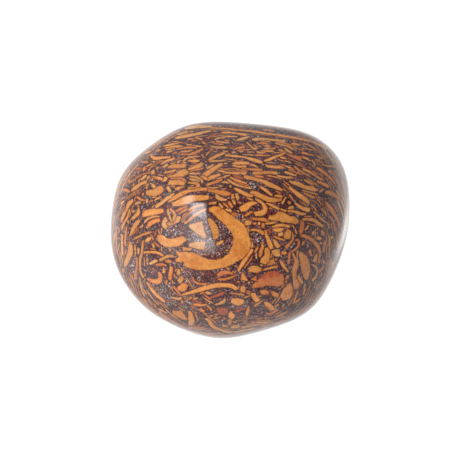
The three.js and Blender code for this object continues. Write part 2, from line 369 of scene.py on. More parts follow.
    ("ochre", (215.5, 244.5, 2), (219, 242.5, 3), (223, 240.5, 2)),
    ("ochre", (224, 210, 2), (229, 209.5, 3), (231, 211, 2)),
    ("rust", (229, 213, 2.5), (233, 214, 4.5), (237, 213.5, 2)),
    ("amber", (244, 222.5, 3), (247, 222.5, 5.5), (251, 221.5, 4)),
    ("ochre", (246, 227, 2), (248, 230, 2), (247.5, 233, 1.5)),
    ("ochre", (250, 241, 2.5), (251, 244, 3), (251.5, 247, 2)),
    ("amber", (250, 229.5, 2), (254, 229.5, 2.5), (258, 230, 3), (261, 231.5, 4), (262.5, 234, 3)),
    # Below the valve
    ("ochre", (159, 260, 2.5), (163.5, 257.5, 3), (168, 255.5, 3), (173, 256, 2)),
    ("orange", (164.5, 260.5, 1.5), (168, 261, 3.5), (171.5, 261, 1.5)),
    ("rust", (155, 265, 2), (160, 264, 3), (166.5, 265, 1.5)),
    ("orange", (158.5, 271.5, 2), (160, 276, 4), (158.5, 280.5, 5.5), (154, 281, 4), (149.5, 279.5, 3),
     (147, 278, 2)),
    ("orange", (171, 266, 2.5), (170.5, 270, 4), (169.5, 275, 4), (169, 279.5, 3)),
    ("ochre", (178, 268.5, 2), (178, 271.5, 4), (177.5, 274.5, 3)),
    ("ochre", (182, 276, 3), (180.5, 278.5, 5.5), (178, 281.5, 4)),
    ("orange", (166.5, 279.5, 1.5), (165.5, 284, 2)),
    ("orange", (177, 286.5, 3), (180.5, 288, 6.5), (183.5, 286, 8), (187, 285.5, 3)),
    ("rust", (192, 276.5, 2), (193, 280, 2), (195.5, 282, 2), (199, 283.5, 2), (206, 283.5, 2)),
    ("orange", (199.5, 293, 1.5), (204, 292, 2)),
    ("amber", (181, 294.5, 1.5), (190, 292, 3), (198, 289.5, 4), (206, 287, 4.5), (213, 285.5, 4.5),
     (221, 284.5, 4.5), (229, 285, 4), (234, 287, 4), (236.5, 289, 3)),
    ("rust", (217.5, 275.5, 3.5), (220, 273, 4.5), (224, 272, 4), (228, 272, 3), (232, 273.5, 2)),
    ("orange", (217.5, 279, 1.5), (223, 279, 2), (229, 277.5, 2), (236.5, 274.5, 1)),
    ("amber", (237.5, 270.5, 2.5), (240.5, 265.5, 3.5), (244, 260, 3.5), (247.5, 255, 3), (252, 249, 3)),
    ("rust", (244, 267.5, 1.5), (247, 263.5, 1.5), (250, 259.5, 1.5), (252, 255, 1)),
    ("amber", (248.5, 269, 5), (252, 268.5, 6.5), (256, 269, 7), (259.5, 271, 5)),
    ("orange", (242, 272, 1), (242.5, 275.5, 4), (243.5, 280, 7)),
    ("orange", (256, 275, 1), (254.5, 278, 3.5), (253.5, 280, 6)),
    ("ochre", (248, 281.5, 2), (249, 283, 2)),
    ("brown", (242, 285.5, 4), (242.5, 289, 5), (242, 292, 4.5)),
    ("red", (210, 297, 1.5), (214, 296, 2), (219, 294, 3), (223, 292, 2.5)),
    ("rust", (251.5, 286.5, 2.5), (256, 284.5, 6), (261, 282, 9), (266, 279.5, 12.5), (271, 278, 14.5),
     (276, 278.5, 15), (280, 278, 13.5), (283, 276, 6)),
    ("orange", (260, 292, 3.5), (263.5, 291.5, 5.5), (268, 292.5, 3)),
    ("orange", (270.5, 291, 1.5), (274, 293.5, 4.5), (277.5, 295.5, 4)),
    ("amber", (252.5, 292.5, 4.5), (253.5, 296, 4.5), (257, 299.5, 5), (259, 300, 2.5)),
    ("brown", (289, 283, 3), (288, 288, 8), (286.5, 293, 11.5), (285.5, 297, 10), (284.5, 299.5, 5)),
    ("rust", (285, 277, 4), (288.5, 276.5, 3.5)),
    ("amber", (283.5, 280.5, 2.5), (281.5, 287, 2)),
    ("amber", (297.5, 275, 3), (299.5, 279, 3), (302, 283, 3)),
    # Right of the valve
    ("amber", (268, 217, 4), (272, 217.5, 4.5), (276, 217, 7), (279, 216, 10), (283, 217, 9.5),
     (287, 218.5, 7.5), (291, 219, 6.5), (294.5, 220, 6.5), (297, 222.5, 4)),
    ("amber", (287, 210.5, 1.5), (290, 210.5, 2.5), (295, 211.5, 3), (299, 213, 3), (303, 213.5, 3),
     (305.5, 213.5, 2)),
    ("amber", (280, 208.5, 1.5), (283, 209.5, 2), (286, 211, 2)),
    ("ochre", (287.5, 208.5, 1.5), (290, 207.5, 3.5), (293, 206.5, 3)),
    ("amber", (265, 223, 1.5), (268, 223, 2), (272, 222.5, 2), (275, 221.5, 1.5)),
    ("amber", (271.5, 226.5, 1.5), (275, 225.5, 2.5), (280, 224.5, 3), (285, 225, 2.5), (289, 226.5, 2)),
    ("amber", (272, 229, 1.5), (275, 229.5, 3.5), (278, 229.5, 4.5), (281, 229, 4), (283, 228.5, 2)),
    ("ochre", (277.5, 234.5, 2), (280, 234, 3.5), (282.5, 232.5, 2.5)),
    ("amber", (288.5, 229, 3), (288, 232, 6), (287, 235.5, 8), (288, 238, 5)),
    ("orange", (290.5, 231, 1.5), (292.5, 234.5, 2), (292.5, 238, 2), (290, 242, 2), (287, 245.5, 3),
     (285, 247.5, 3)),
    ("orange", (262.5, 222.5, 2), (262.5, 225, 3.5), (262.5, 227.5, 2.5)),
    ("ochre", (257.5, 223, 2.5), (259.5, 223, 2.5)),
    ("amber", (265, 229.5, 2), (265.5, 233, 2.5), (267, 237, 3), (268.5, 241, 4), (270, 245, 4),
     (271.5, 248.5, 3)),
    ("ochre", (273, 239, 2), (275, 242, 4), (277, 245, 4.5), (278.5, 247, 3.5)),
    ("orange", (262.5, 244, 3), (261.5, 247.5, 3), (260.5, 251, 4), (259, 256.5, 2.5)),
    ("orange", (257.5, 246, 1.5), (256, 249, 2), (254.5, 252, 1.5)),
    ("amber", (266, 247, 3), (266.5, 250, 5), (267, 253, 5), (266.5, 256, 5), (264.5, 259.5, 8),
     (262, 263, 5)),
    ("orange", (267, 254, 3), (271.5, 255.5, 4)),
    ("orange", (266.5, 264, 2), (270, 262.5, 4.5), (274, 260.5, 6)),
    ("ochre", (271.5, 251.5, 3), (274, 252, 6), (277, 252.5, 7.5), (279.5, 252.5, 6)),
    ("orange", (281.5, 251, 3), (284, 252.5, 4.5), (285.5, 253.5, 3)),
    ("pale", (255.5, 252, 1.5), (256, 258, 1.5)),
    ("amber", (279.5, 259.5, 2), (283, 265.5, 2.5), (287.5, 271.5, 2)),
    ("rust", (289.5, 252, 2.5), (288.5, 257, 2.5), (288, 264, 2)),
    ("rust", (294.5, 239.5, 1.5), (297.5, 239.5, 2), (298.5, 243, 2.5), (296.5, 247, 2), (293, 250, 2),
     (290, 252, 1.5)),
    ("brown", (292, 251, 1), (293.5, 256, 2.5), (296, 260.5, 4), (295.5, 265, 5), (294, 270, 5),
     (294, 275, 4.5), (295, 280, 6), (296, 285, 6.5), (296, 288.5, 3)),
    ("brown", (299, 252, 3), (301.5, 256, 7), (303.5, 260, 9), (305, 265, 9.5), (305.5, 270, 8.5),
     (306, 274.5, 6.5), (306.5, 279.5, 2)),
    # Toward the right rim
    ("orange", (304, 216, 1), (308, 216, 1.5), (311, 216, 1)),
    ("amber", (302, 219, 2), (308, 218.5, 3), (311, 219, 3.5), (315, 220.5, 3.5), (318, 223, 3),
     (321, 225, 3), (323.5, 225.5, 1.5)),
    ("amber", (313, 211, 1.5), (316, 213.5, 2), (319, 216.5, 2), (322, 219.5, 2), (325, 221.5, 1.5)),
    ("rust", (307, 223, 1), (310, 223.5, 1), (314, 224.5, 1.5), (317, 225, 1)),
    ("amber", (308, 225, 1.5), (306.5, 227.5, 2), (304.5, 229.5, 1.5)),
    ("rust", (301, 219.5, 2), (302, 223, 4), (301.5, 227, 4.5), (300.5, 231, 3.5), (301, 233.5, 3)),
    ("orange", (300, 234.5, 3), (304, 235.5, 3.5), (308, 237, 3.5), (311, 239, 3.5), (314, 242, 4),
     (316.5, 244.5, 4), (318.5, 248, 3), (319.5, 252, 2.5), (319, 257, 2), (318.5, 262.5, 2)),
    ("amber", (311.5, 232.5, 2.5), (313, 232.5, 3.5), (314, 231, 1.5)),
    ("amber", (316, 237.5, 2), (317.5, 237.5, 3.5), (319.5, 238, 3.5), (320.5, 239, 1.5)),
    ("brown", (320.5, 230, 1.5), (322, 231.5, 3), (323, 233.5, 3), (323, 235.5, 1)),
    ("brown", (328, 234, 1), (329, 239, 2), (329, 245, 2), (329, 252, 1.5), (329, 257, 1)),
    ("ochre", (329.5, 238, 3), (332.5, 236.5, 2)),
    ("brown", (325.5, 240, 2), (324.5, 243.5, 2), (323.5, 247, 2), (323, 252, 2)),
    ("amber", (327, 243.5, 1), (326, 248, 1), (326, 253, 1), (326.5, 257, 1)),
    ("ochre", (320.5, 241.5, 1.5), (320.5, 244, 1.5)),
    ("amber", (309, 249, 1.5), (309.5, 251, 2.5), (310.5, 254, 2), (311.5, 256, 1)),
    ("brown", (329, 215.5, 1.5), (331, 218.5, 1.5), (333, 222, 1.5), (334, 226, 1), (334.5, 231, 1)),
    ("ochre", (327, 222, 1), (328, 226, 1), (328.5, 228, 1)),
    ("brown", (331, 223, 1), (331.5, 228, 1)),
    ("amber", (321, 208, 1.5), (323.5, 211, 2), (326, 214.5, 1.5)),
    ("amber", (301.5, 243, 3.5), (304, 241.5, 2.5)),
    ("rust", (307, 242, 1.5), (309, 242.5, 1.5)),
    ("brown", (332, 176, 1), (335, 179.5, 1), (337.5, 183, 1), (340, 188, 1)),
    ("orange", (330, 178.5, 1), (333, 182.5, 1), (335.5, 186, 1)),
    ("amber", (316, 253.5, 2), (315.5, 256.5, 3), (314, 260, 3.5), (313, 261.5, 2)),
    ("ochre", (311, 264, 1), (314.5, 265.5, 2), (316.5, 269, 1.5), (316.5, 273, 1.5), (315, 277, 2),
     (312.5, 279.5, 2.5), (312, 281, 1.5)),
    ("rust", (323.5, 265, 1.5), (322.5, 267, 2.5), (320.5, 269.5, 2), (318, 272.5, 2)),
    ("red", (319, 275, 1), (318.5, 278, 1)),
    ("ochre", (321.5, 273, 1.5), (320, 275.5, 1.5)),
    ("ochre", (323, 260, 1.5), (323.5, 263.5, 1.5)),
    ("amber", (305, 283, 1), (304, 286, 2), (304, 290, 2), (303, 294, 1.5)),
    # Right of the middle, under the upper strips
    ("amber", (260, 185.5, 2), (262, 187.5, 2.5), (266, 190.5, 3), (269, 193, 2.5), (271.5, 195, 2)),
    ("amber", (250, 191, 2.5), (254, 192.5, 4.5), (258, 194.5, 5), (262, 196.5, 5), (266, 198, 5),
     (270, 199.5, 5), (274, 199.5, 4.5), (278, 199.5, 3), (281, 199, 2)),
    ("amber", (274, 195, 1.5), (277, 195.5, 3), (280.5, 196, 3), (281.5, 198, 2)),
    ("rust", (275, 190.5, 1), (278, 192, 1.5), (280.5, 193, 1.5)),
    ("ochre", (285.5, 196.5, 1), (283.5, 200, 2), (281.5, 203.5, 2)),
    ("orange", (287.5, 201, 2.5), (289, 202.5, 3.5), (290.5, 203, 1.5)),
    ("amber", (255, 198.5, 2), (259, 200.5, 2.5), (262, 203, 3), (264, 206, 4), (265, 209, 4.5),
     (262.5, 212, 5), (258, 213, 5), (254, 213.5, 4.5)),
    ("ochre", (265.5, 202.5, 1), (269, 204, 2), (273, 206, 2.5), (276.5, 207.5, 2.5), (279, 208.5, 1.5)),
    ("amber", (294.5, 202.5, 2), (297, 204.5, 2.5), (300, 206.5, 3), (303, 208, 4), (306, 209, 4.5),
     (309.5, 209.5, 3.5)),
    ("rust", (288.5, 194.5, 2.5), (290.5, 196, 2), (292, 198.5, 1.5), (293, 201, 1)),
    # The left, where the strips turn upright
    ("amber", (132.5, 200, 2.5), (130.5, 201.5, 4), (128, 204, 4), (126.5, 208, 2.5), (124.5, 212, 3),
     (122, 217, 2.5), (121, 222, 2)),
    ("ochre", (120, 203.5, 2), (122.5, 201.5, 2), (124, 200.5, 1.5)),
    ("orange", (122.5, 189, 3), (126, 190, 3), (129, 191.5, 2.5)),
    ("ochre", (122.5, 179.5, 1.5), (125.5, 178, 2)),
    ("ochre", (127, 181, 1.5), (129.5, 180, 1.5)),
    ("rust", (150, 199.5, 2), (152, 201, 2)),
    ("amber", (142, 215, 3), (144, 213.5, 6), (147, 212.5, 6.5), (152, 211.5, 6.5), (157, 211, 5.5),
     (161, 210.5, 4.5), (163, 210, 3)),
    ("ochre", (143.5, 222.5, 1), (145.5, 220, 2), (148, 218, 2), (152, 216.5, 2), (156, 216, 1.5),
     (159, 216, 1)),
    ("orange", (146, 227.5, 1.5), (147.5, 225.5, 3.5), (149.5, 223, 4.5), (152.5, 221.5, 4.5),
     (156, 220, 4), (159.5, 219.5, 3)),
    ("amber", (129, 235.5, 1.5), (131, 232.5, 3), (132.5, 228.5, 3.5), (134.5, 225, 4), (137, 222, 4),
     (139.5, 219.5, 2)),
    ("amber", (133, 238.5, 2), (136.5, 237, 2), (140.5, 235, 2), (145, 233, 2.5), (149, 232, 2),
     (151, 231.5, 1)),
    ("amber", (130.5, 219, 1.5), (133, 217, 3), (135.5, 215, 4), (137.5, 213, 3.5), (138, 209.5, 2.5),
     (138, 207, 2)),
    ("ochre", (132.5, 212, 2), (133.5, 210, 2.5)),
    ("amber", (129.5, 208.5, 1), (128, 213, 1.5), (126.5, 217.5, 2), (124.5, 221, 2), (122.5, 225, 2),
     (121, 229, 1.5)),
    ("ochre", (128, 220, 2), (127.5, 223, 2)),
    ("orange", (126, 226, 1.5), (125.5, 230, 1.5), (125, 235, 2), (124.5, 240, 1.5), (125, 246, 1.5)),
    ("amber", (121.5, 234, 2.5), (121.5, 240, 2), (121.5, 246, 2), (122, 252, 2), (122.5, 255, 1)),
    ("amber", (129.5, 241, 1.5), (130, 244, 3.5), (130, 248, 5), (129.5, 253, 5.5), (127.5, 258, 5),
     (125.5, 262, 4), (124, 267, 1.5)),
    ("amber", (134, 244, 1), (135, 250, 2)),
    ("ochre", (138, 247.5, 2), (138, 251, 2.5), (137.5, 253.5, 2)),
    ("amber", (142.5, 240, 1.5), (142, 245, 2), (141.5, 252, 2), (140, 257, 2.5), (139.5, 262, 2),
     (139.5, 267, 2), (140, 271, 2), (142, 275, 2), (143, 277.5, 1.5)),
    ("ochre", (144.5, 241, 2), (147, 239.5, 3.5), (149.5, 238, 3), (150.5, 237, 1.5)),
    ("ochre", (152, 243, 1.5), (153, 245.5, 2.5), (154, 247, 1.5)),
    ("orange", (153.5, 241.5, 1), (156, 243.5, 1.5), (158.5, 246, 1.5)),
    ("red", (156, 230, 1), (155, 233, 2), (154, 235.5, 1)),
    ("amber", (142.5, 252.5, 1.5), (146, 251.5, 2), (151, 251.5, 2.5), (155, 252, 2.5), (159, 253, 2.5),
     (163, 255.5, 2)),
    ("orange", (150, 248.5, 1), (153, 248.5, 1.5), (155, 249.5, 1)),
    ("amber", (139.5, 227, 1.5), (141.5, 225.5, 2.5), (142.5, 224, 1.5)),
    # Lower left
    ("rust", (135.5, 257, 1.5), (136.5, 260, 2), (136.5, 264, 2), (136, 268, 2), (135, 272, 2.5),
     (135, 276, 2.5), (136, 279.5, 1)),
    ("ochre", (139, 276.5, 1), (139.5, 279, 1.5), (140, 283, 2), (141, 288, 2), (142.5, 292, 2),
     (144, 296, 1.5)),
    ("orange", (143.5, 257, 1), (144, 262, 1), (144, 266, 1)),
    ("ochre", (146.5, 257.5, 1.5), (147, 261, 2)),
    ("ochre", (149, 263.5, 2), (152, 262, 3), (155, 260.5, 3), (157, 260, 2)),
    ("orange", (151.5, 268.5, 1.5), (153.5, 268, 1)),
    ("orange", (151.5, 271.5, 1), (153.5, 271, 1)),
    ("amber", (146, 281.5, 1.5), (148.5, 285, 2), (151, 289, 2.5), (154, 292.5, 3), (157, 295.5, 3),
     (160, 298, 3), (163, 300.5, 3), (164.5, 301.5, 1)),
    ("rust", (148, 281, 1), (150.5, 285, 1), (153, 288.5, 1)),
    ("orange", (122, 267, 1.5), (122.5, 270, 2), (123, 272.5, 1)),
    ("orange", (129, 272, 1), (130, 277, 1), (131, 282, 1.5), (133, 286.5, 1.5), (134, 290, 1)),
    # Along the bottom
    ("ochre", (171, 297, 1), (175, 298, 2), (178.5, 298.5, 3), (181, 297, 2)),
    ("orange", (184, 297.5, 3), (187, 297.5, 4.5), (190, 297.5, 3), (191.5, 296.5, 1.5)),
    ("ochre", (193, 298.5, 1.5), (195.5, 298, 2), (197.5, 297.5, 1)),
    ("brown", (180.5, 301.5, 3), (182.5, 301.5, 3)),
    ("ochre", (171, 302.5, 1), (174, 303.5, 1), (176, 305, 1)),
    ("brown", (172, 311.5, 3), (175, 313, 5), (178.5, 314, 6.5), (182, 315, 9), (184.5, 315.5, 7.5)),
    ("amber", (189, 310.5, 2.5), (190, 314, 4.5), (190.5, 317.5, 6), (191, 320.5, 6), (190.5, 323, 5.5),
     (189.5, 324.5, 3)),
    ("orange", (192.5, 304, 1.5), (195.5, 304, 2.5), (199, 304.5, 3), (203, 304.5, 2), (206, 304, 1.5)),
    ("orange", (190.5, 305, 1), (192.5, 307, 1.5), (194, 308, 1)),
    ("orange", (199, 308, 2), (201, 310, 4), (202.5, 311.5, 3), (203.5, 309.5, 2.5)),
    ("amber", (204.5, 318, 2), (208, 319.5, 3), (209.5, 322, 3.5), (211.5, 325, 3.5), (214, 327, 3),
     (217, 328.5, 2.5), (221, 329.5, 2), (225, 331, 2), (229, 331.5, 2), (232, 331, 1)),
    ("orange", (158, 308.5, 2), (161, 310, 2), (164, 311.5, 1.5), (167, 313, 1.5)),
    ("rust", (196.5, 325.5, 1), (199, 324.5, 1.5), (200.5, 323, 1)),
    ("ochre", (214.5, 304, 1), (218, 303.5, 2), (221, 302, 3), (223.5, 300.5, 3), (224.5, 298.5, 2)),
    ("red", (216.5, 307.5, 2), (218.5, 309, 5), (221.5, 310.5, 8), (224.5, 310.5, 7), (227.5, 310, 3.5)),
    ("orange", (206, 305, 2), (208.5, 306.5, 2), (210.5, 309, 2), (211.5, 310.5, 1)),
    ("red", (206.5, 308, 3), (207.5, 309, 3)),
    ("amber", (209, 315.5, 1.5), (211, 315, 2), (211.5, 316, 1.5)),
    ("amber", (230.5, 310.5, 1), (230.5, 313, 4.5), (231, 315.5, 7.5), (231.5, 317.5, 4.5),
     (231.5, 319, 1)),
    ("red", (234, 311, 1.5), (236.5, 311, 2.5), (239.5, 309.5, 2.5), (242.5, 308.5, 2), (244.5, 308, 1)),
    ("amber", (246.5, 316, 2), (246.5, 313, 3), (247.5, 310, 3), (248, 307, 2), (248, 305.5, 1)),
    ("amber", (230.5, 300.5, 2.5), (233.5, 300.5, 5.5), (237, 301.5, 7), (240.5, 301.5, 6),
     (243.5, 301.5, 3)),
    ("ochre", (222, 325.5, 2), (225, 325.5, 2), (227.5, 326, 1)),
    ("amber", (230, 327, 1.5), (233.5, 326.5, 3), (237, 326, 3), (239.5, 325.5, 1.5)),
    ("rust", (250, 322, 1.5), (254, 321, 1.5)),
    ("ochre", (246, 325, 1), (250, 324, 1), (254, 323, 1)),
    ("brown", (229.5, 318.5, 3), (229.5, 322, 3.5), (228.5, 325, 2)),
    ("amber", (264.5, 301.5, 2.5), (266.5, 303.5, 4.5), (269, 305.5, 5), (271, 308, 5), (273, 309.5, 3)),
    ("orange", (264.5, 317.5, 2.5), (266, 317, 1.5)),
    ("orange", (265.5, 312, 1), (267, 313.5, 1.5), (270, 313.5, 1.5), (272.5, 312, 1.5), (276, 310, 2),
     (278, 310, 1)),
    ("orange", (292, 303, 1), (295, 301.5, 1.5), (298, 299.5, 1.5), (300, 297.5, 1)),
    ("brown", (275, 316.5, 1), (279, 315, 1.5), (283, 313, 1.5), (287, 311, 1.5)),
    ("ochre", (281.5, 307, 1), (284, 304, 1)),
]

# Grains of sand too big to come from the sand's own pattern, as x, y and size, in the picture's pixels
GRAINS = [
    ("white", (291, 246.5, 2.5), (293.5, 243, 2), (250, 183, 2.5), (253, 183.5, 2), (254, 186.5, 3),
     (251, 186, 1.5), (257.5, 136, 2), (232.5, 306, 2.5), (186, 307, 2), (189, 302.5, 2), (132, 265, 3),
     (133, 271, 2), (153, 284.5, 1.5)),
    ("pink", (228, 197.5, 2.5), (243, 197, 2), (278.5, 203, 2), (258, 204.5, 2), (249, 219, 1.5),
     (236, 217, 1.5), (156.5, 183, 1.5), (144, 230.5, 1.5), (133, 242, 2), (275, 160, 2), (144.5, 270, 2),
     (178.5, 303.5, 2), (232, 142, 1.5), (307.5, 142, 2), (127.5, 232, 1.5), (143, 280.5, 1.5),
     (311.5, 274, 1.5)),
    ("green", (162.5, 289.5, 2.5), (165, 286, 2), (167, 304.5, 2.5), (173, 303, 2.5), (187, 297, 2.5),
     (279, 172.5, 2), (314, 179, 2.5), (168, 193.5, 3), (153.5, 182, 2), (152, 228.5, 2), (183, 306.5, 3),
     (240, 174.5, 1.5), (242.5, 202.5, 2), (212, 193, 2)),
    ("rust", (270, 298, 2), (256.5, 309, 2), (118, 237.5, 2.5), (116, 213, 1.5), (206, 143.5, 2)),
]

# Where the sand between the shells is redder, fuller of pale grains or freer of them than elsewhere, as x, y
# and radius in the picture's pixels
SAND_PATCHES = {
    "maroon": [(205, 272, 9), (214, 255, 6), (178, 232, 8), (184, 210, 7), (155, 203, 6), (138, 168, 6),
               (205, 310, 8), (274, 205, 8), (247, 217, 6), (216, 149, 6), (128, 200, 12), (124, 225, 12),
               (150, 178, 12), (172, 172, 14), (195, 178, 10), (120, 250, 10), (150, 235, 10), (165, 212, 9),
               (220, 276, 8)],
    "grainy": [(205, 238, 14), (222, 244, 11), (228, 235, 9), (165, 290, 14), (185, 272, 12), (190, 305, 14),
               (238, 305, 10), (215, 290, 8), (133, 268, 8), (150, 265, 8), (175, 228, 10), (178, 252, 9),
               (118, 190, 9), (118, 225, 9), (208, 190, 8), (195, 238, 10)],
    "clean": [(275, 185, 14), (262, 208, 10), (285, 205, 10), (296, 190, 10), (300, 225, 10), (240, 195, 10),
              (160, 215, 10), (255, 160, 14)],
}

# Where the shells' orange is deeper or blushes to red, and where a greyish painted reflection of the white
# surroundings lies over them along the stone's outline, as x, y and radius in the picture's pixels
SHELL_PATCHES = {
    "deep": [(240, 249, 9), (234, 240, 5), (195, 262, 8), (219, 211, 4), (184, 259, 5)],
    "red": [(257, 275, 4), (263, 275, 5), (270, 273.5, 5), (277, 272.5, 4)],
    "painted_rim_sheen": [(137, 160, 8), (125, 176, 9), (118, 192, 10), (116, 210, 11), (114, 230, 10), (116, 250, 9),
              (122, 268, 8), (133, 284, 8), (147, 299, 8), (165, 312, 8), (186, 323, 8), (208, 330, 8),
              (255, 326, 7), (276, 320, 7), (297, 309, 7), (315, 293, 7), (328, 276, 7)],
}

# Where the sand between the shells is bare of small ones, too, and the share of each radius that counts
BARE_PLACES = [
    (203, 235, 12), (214, 246, 12), (176, 226, 12), (160, 206, 9), (153, 270, 10),
    (178, 283, 10), (190, 272, 12), (176, 300, 10), (220, 302, 12), (262, 312, 12),
    (290, 308, 10), (300, 240, 10), (310, 260, 8), (322, 235, 8), (262, 236, 9),
    (285, 268, 9), (198, 218, 10), (205, 272, 12), (220, 276, 10), (205, 310, 12),
    (165, 290, 14), (133, 268, 10), (150, 265, 10), (240, 302, 12), (215, 290, 10),
    (221, 240, 10), (217, 252, 10), (189, 236, 10), (183, 231, 9), (170, 230, 8),
    (223, 229, 9), (197, 206, 8), (208, 214, 7), (196, 240, 8), (227, 243, 9),
    (196, 250, 6), (216, 123, 20), (239, 123, 20), (262, 127, 20), (284, 132, 18),
]
BARE_SHARE = 0.5

# How often each tint comes up among the shells that aren't read off the photograph
TINT_SHARES = {"ochre": 0.3, "amber": 0.36, "orange": 0.19, "rust": 0.1, "red": 0.03, "brown": 0.02}

# The rounds in which those shells are laid: the tries, the ranges of length and of thickness in
# millimetres, and the share kept of those on the side that the photograph shows
RANDOM_ROUNDS = [
    (2000, (3.0, 7.0), (0.25, 0.55), 0.0),
    (5000, (1.5, 4.0), (0.14, 0.36), 0.06),
    (16000, (1.0, 3.2), (0.08, 0.15), 0.6),
    (11000, (0.7, 2.4), (0.1, 0.25), 0.18),
    (14000, (0.25, 0.9), (0.07, 0.16), 0.4),
]
PATTERN_SEED = 11

# How squarely a face has to look at the camera before it begins to count as shown. At twice this it is
# wholly shown.
SHOWN_FACING = 0.3

# How far the beds' direction scatters, and how alike two faces have to look to lie on the same side
BED_SCATTER = 0.14
SAME_SIDE = 0.2

# How far a random shell's middle keeps off what is laid already, how wide a margin round the shell is
# looked at and how near what is laid may come there, all in millimetres, and the share of the shell and
# its margin where it may come nearer
MIDDLE_ROOM = 0.12
MARGIN = 0.08
MARGIN_ROOM = 0.04
MOST_TAKEN = 0.08

# How far to each side of a shell's middle line its width is measured, in pixels
SIDE_STEP = 0.7

# How far a shell keeps off the ones that were laid before it, and how round its corners are, in
# millimetres
RIM_GAP = 0.11
CORNER_ROUNDING = 0.02

# The room's glow, as lobes that each have an azimuth counted from +X, an elevation and a strength. The
# higher the narrowness, the smaller the lobes.
GLOW_NARROWNESS = 4
ROOM_GLOWS = [
    (0, 10, 0.3),
    (45, 10, 0.45),
    (90, 10, 0.6),
    (120, 10, 0.3),
    (135, 50, 0.85),
    (180, 10, 0.7),
    (225, 10, 0.85),
    (270, 10, 0.15),
    (315, 10, 0.35),
    (210, -35, 0.35),
    (270, -35, 0.4),
    (320, -35, 0.4),
]

# The table's half width, its own light near the stone and farther off, and the distances between which
# that changes. On top of it lie glows, each with an azimuth, a narrowness, the distances where it sets in
# and fades out, and a strength. All distances are in metres.
TABLE_HALF = 1.5
TABLE_EVEN = (0.97, 0.7)
TABLE_CHANGE = (0.05, 0.09)
TABLE_GLOWS = [
    (8, 26, (0.024, 0.03), (0.034, 0.05), 2.4),
    (32, 12, (0.04, 0.05), (0.11, 0.17), 0.5),
    (188, 4, (0.028, 0.045), (0.09, 0.2), 1.1),
    (115, 6, (0.055, 0.075), (0.3, 0.6), 0.3),
]

# The overlapping panels that make the softbox, all this far from the stone, in metres. Each is given by the
# four pixels where its reflection has its corners, from the upper left one with the clock, and by its
# radiance.
PANEL_DISTANCE = 0.5
SOFTBOXES = [
    ((185, 203), (204.5, 202), (214, 247), (186, 240), 1.8),
    ((190, 203), (204.5, 202), (214, 247), (192, 239), 2.2),
    ((191, 203), (204.5, 202), (208, 217), (193, 215), 6.2),
    ((181, 203), (204.5, 202), (214, 247), (181, 240), 0.8),
    ((181, 196), (193, 194), (197, 202), (183, 204), 3.2),
    ((184, 196), (191, 195), (193, 203), (186, 204), 3.0),
    ((188, 240), (210, 240), (214, 251), (189, 251), 3.2),
    ((166, 200), (186, 200), (188, 256), (170, 256), 0.9),
]

# A large soft light beside the camera that the polish doesn't show: its azimuth, elevation, distance and
# size, and its radiance
FRONT_LIGHT = (262, 42, 0.7, 0.5)
FRONT_RADIANCE = 1.4


def compass_way(azimuth, elevation):
    """The direction at an azimuth counted from +X and an elevation, both in degrees."""
    azimuth, elevation = math.radians(azimuth), math.radians(elevation)
    flat = math.cos(elevation)
    return math.cos(azimuth) * flat, math.sin(azimuth) * flat, math.sin(elevation)


def face_direction(clock, lean):
    """A worn face's outward direction in the stone's own frame, from how the camera sees it."""
    clock, lean = math.radians(clock), math.radians(lean)
    across = math.cos(clock) * math.cos(lean)
    upward = math.sin(clock) * math.cos(lean)
    return RIGHT * across + UPWARD * upward + NEARER * math.sin(lean)


def worn_points(directions):
    """The points of the worn surface in some directions from the heart, in millimetres."""
    total = np.zeros(len(directions))
    for clock, lean, distance in WORN_FACES:
        share = np.clip(directions @ np.array(face_direction(clock, lean)), 0, None) / distance
        total += share**SHOULDER_SHARPNESS
    places = directions * (total ** (-1 / SHOULDER_SHARPNESS))[:, None]
    below = places[:, 2] < -REST_DISTANCE
    places[below] *= (-REST_DISTANCE / places[below, 2])[:, None]
    return places


def mesh_object(name, bm):
    """Turns a bmesh into an object in the scene."""
    mesh = bpy.data.meshes.new(name)
    bm.to_mesh(mesh)
    bm.free()
    made = bpy.data.objects.new(name, mesh)
    bpy.context.collection.objects.link(made)
    return made


def make_stone():
    """The pebble, fitted into the CAD solid's box. Returns it with the place of its heart."""
    bm = bmesh.new()
    bmesh.ops.create_icosphere(bm, subdivisions=6, radius=1)
    bmesh.ops.subdivide_edges(bm, edges=bm.edges, cuts=2, use_grid_fill=True)
    directions = np.array([vertex.co.normalized() for vertex in bm.verts])
    places = worn_points(directions)
    low, high = (np.array(corner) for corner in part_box("stone"))
    scale = (high - low) / np.ptp(places, axis=0)
    heart = low - places.min(axis=0) * scale
    for vertex, place in zip(bm.verts, places * scale + heart):
        vertex.co = place
    for face in bm.faces:
        face.smooth = True
    bm.normal_update()
    return mesh_object("jasper_pebble", bm), Vector(heart)


def make_camera(heart):
    """A camera at the photograph's angle. It aims so that the heart shows at HEART_PIXEL."""
    data = bpy.data.cameras.new("camera")
    data.lens = LENS
    data.sensor_width = SENSOR
    data.clip_start = 0.01
    data.clip_end = 10
    camera = bpy.data.objects.new("camera", data)
    bpy.context.collection.objects.link(camera)
    bpy.context.scene.camera = camera
    distance = PICTURE_SIDE / PIXELS_PER_MM * MM * LENS / SENSOR
    aside = (PICTURE_MIDDLE - HEART_PIXEL[0]) / PIXELS_PER_MM * MM
    above = (HEART_PIXEL[1] - PICTURE_MIDDLE) / PIXELS_PER_MM * MM
    camera.location = heart + RIGHT * aside + UPWARD * above + NEARER * distance
    camera.rotation_euler = NEARER.to_track_quat("Z", "Y").to_euler()
    return camera


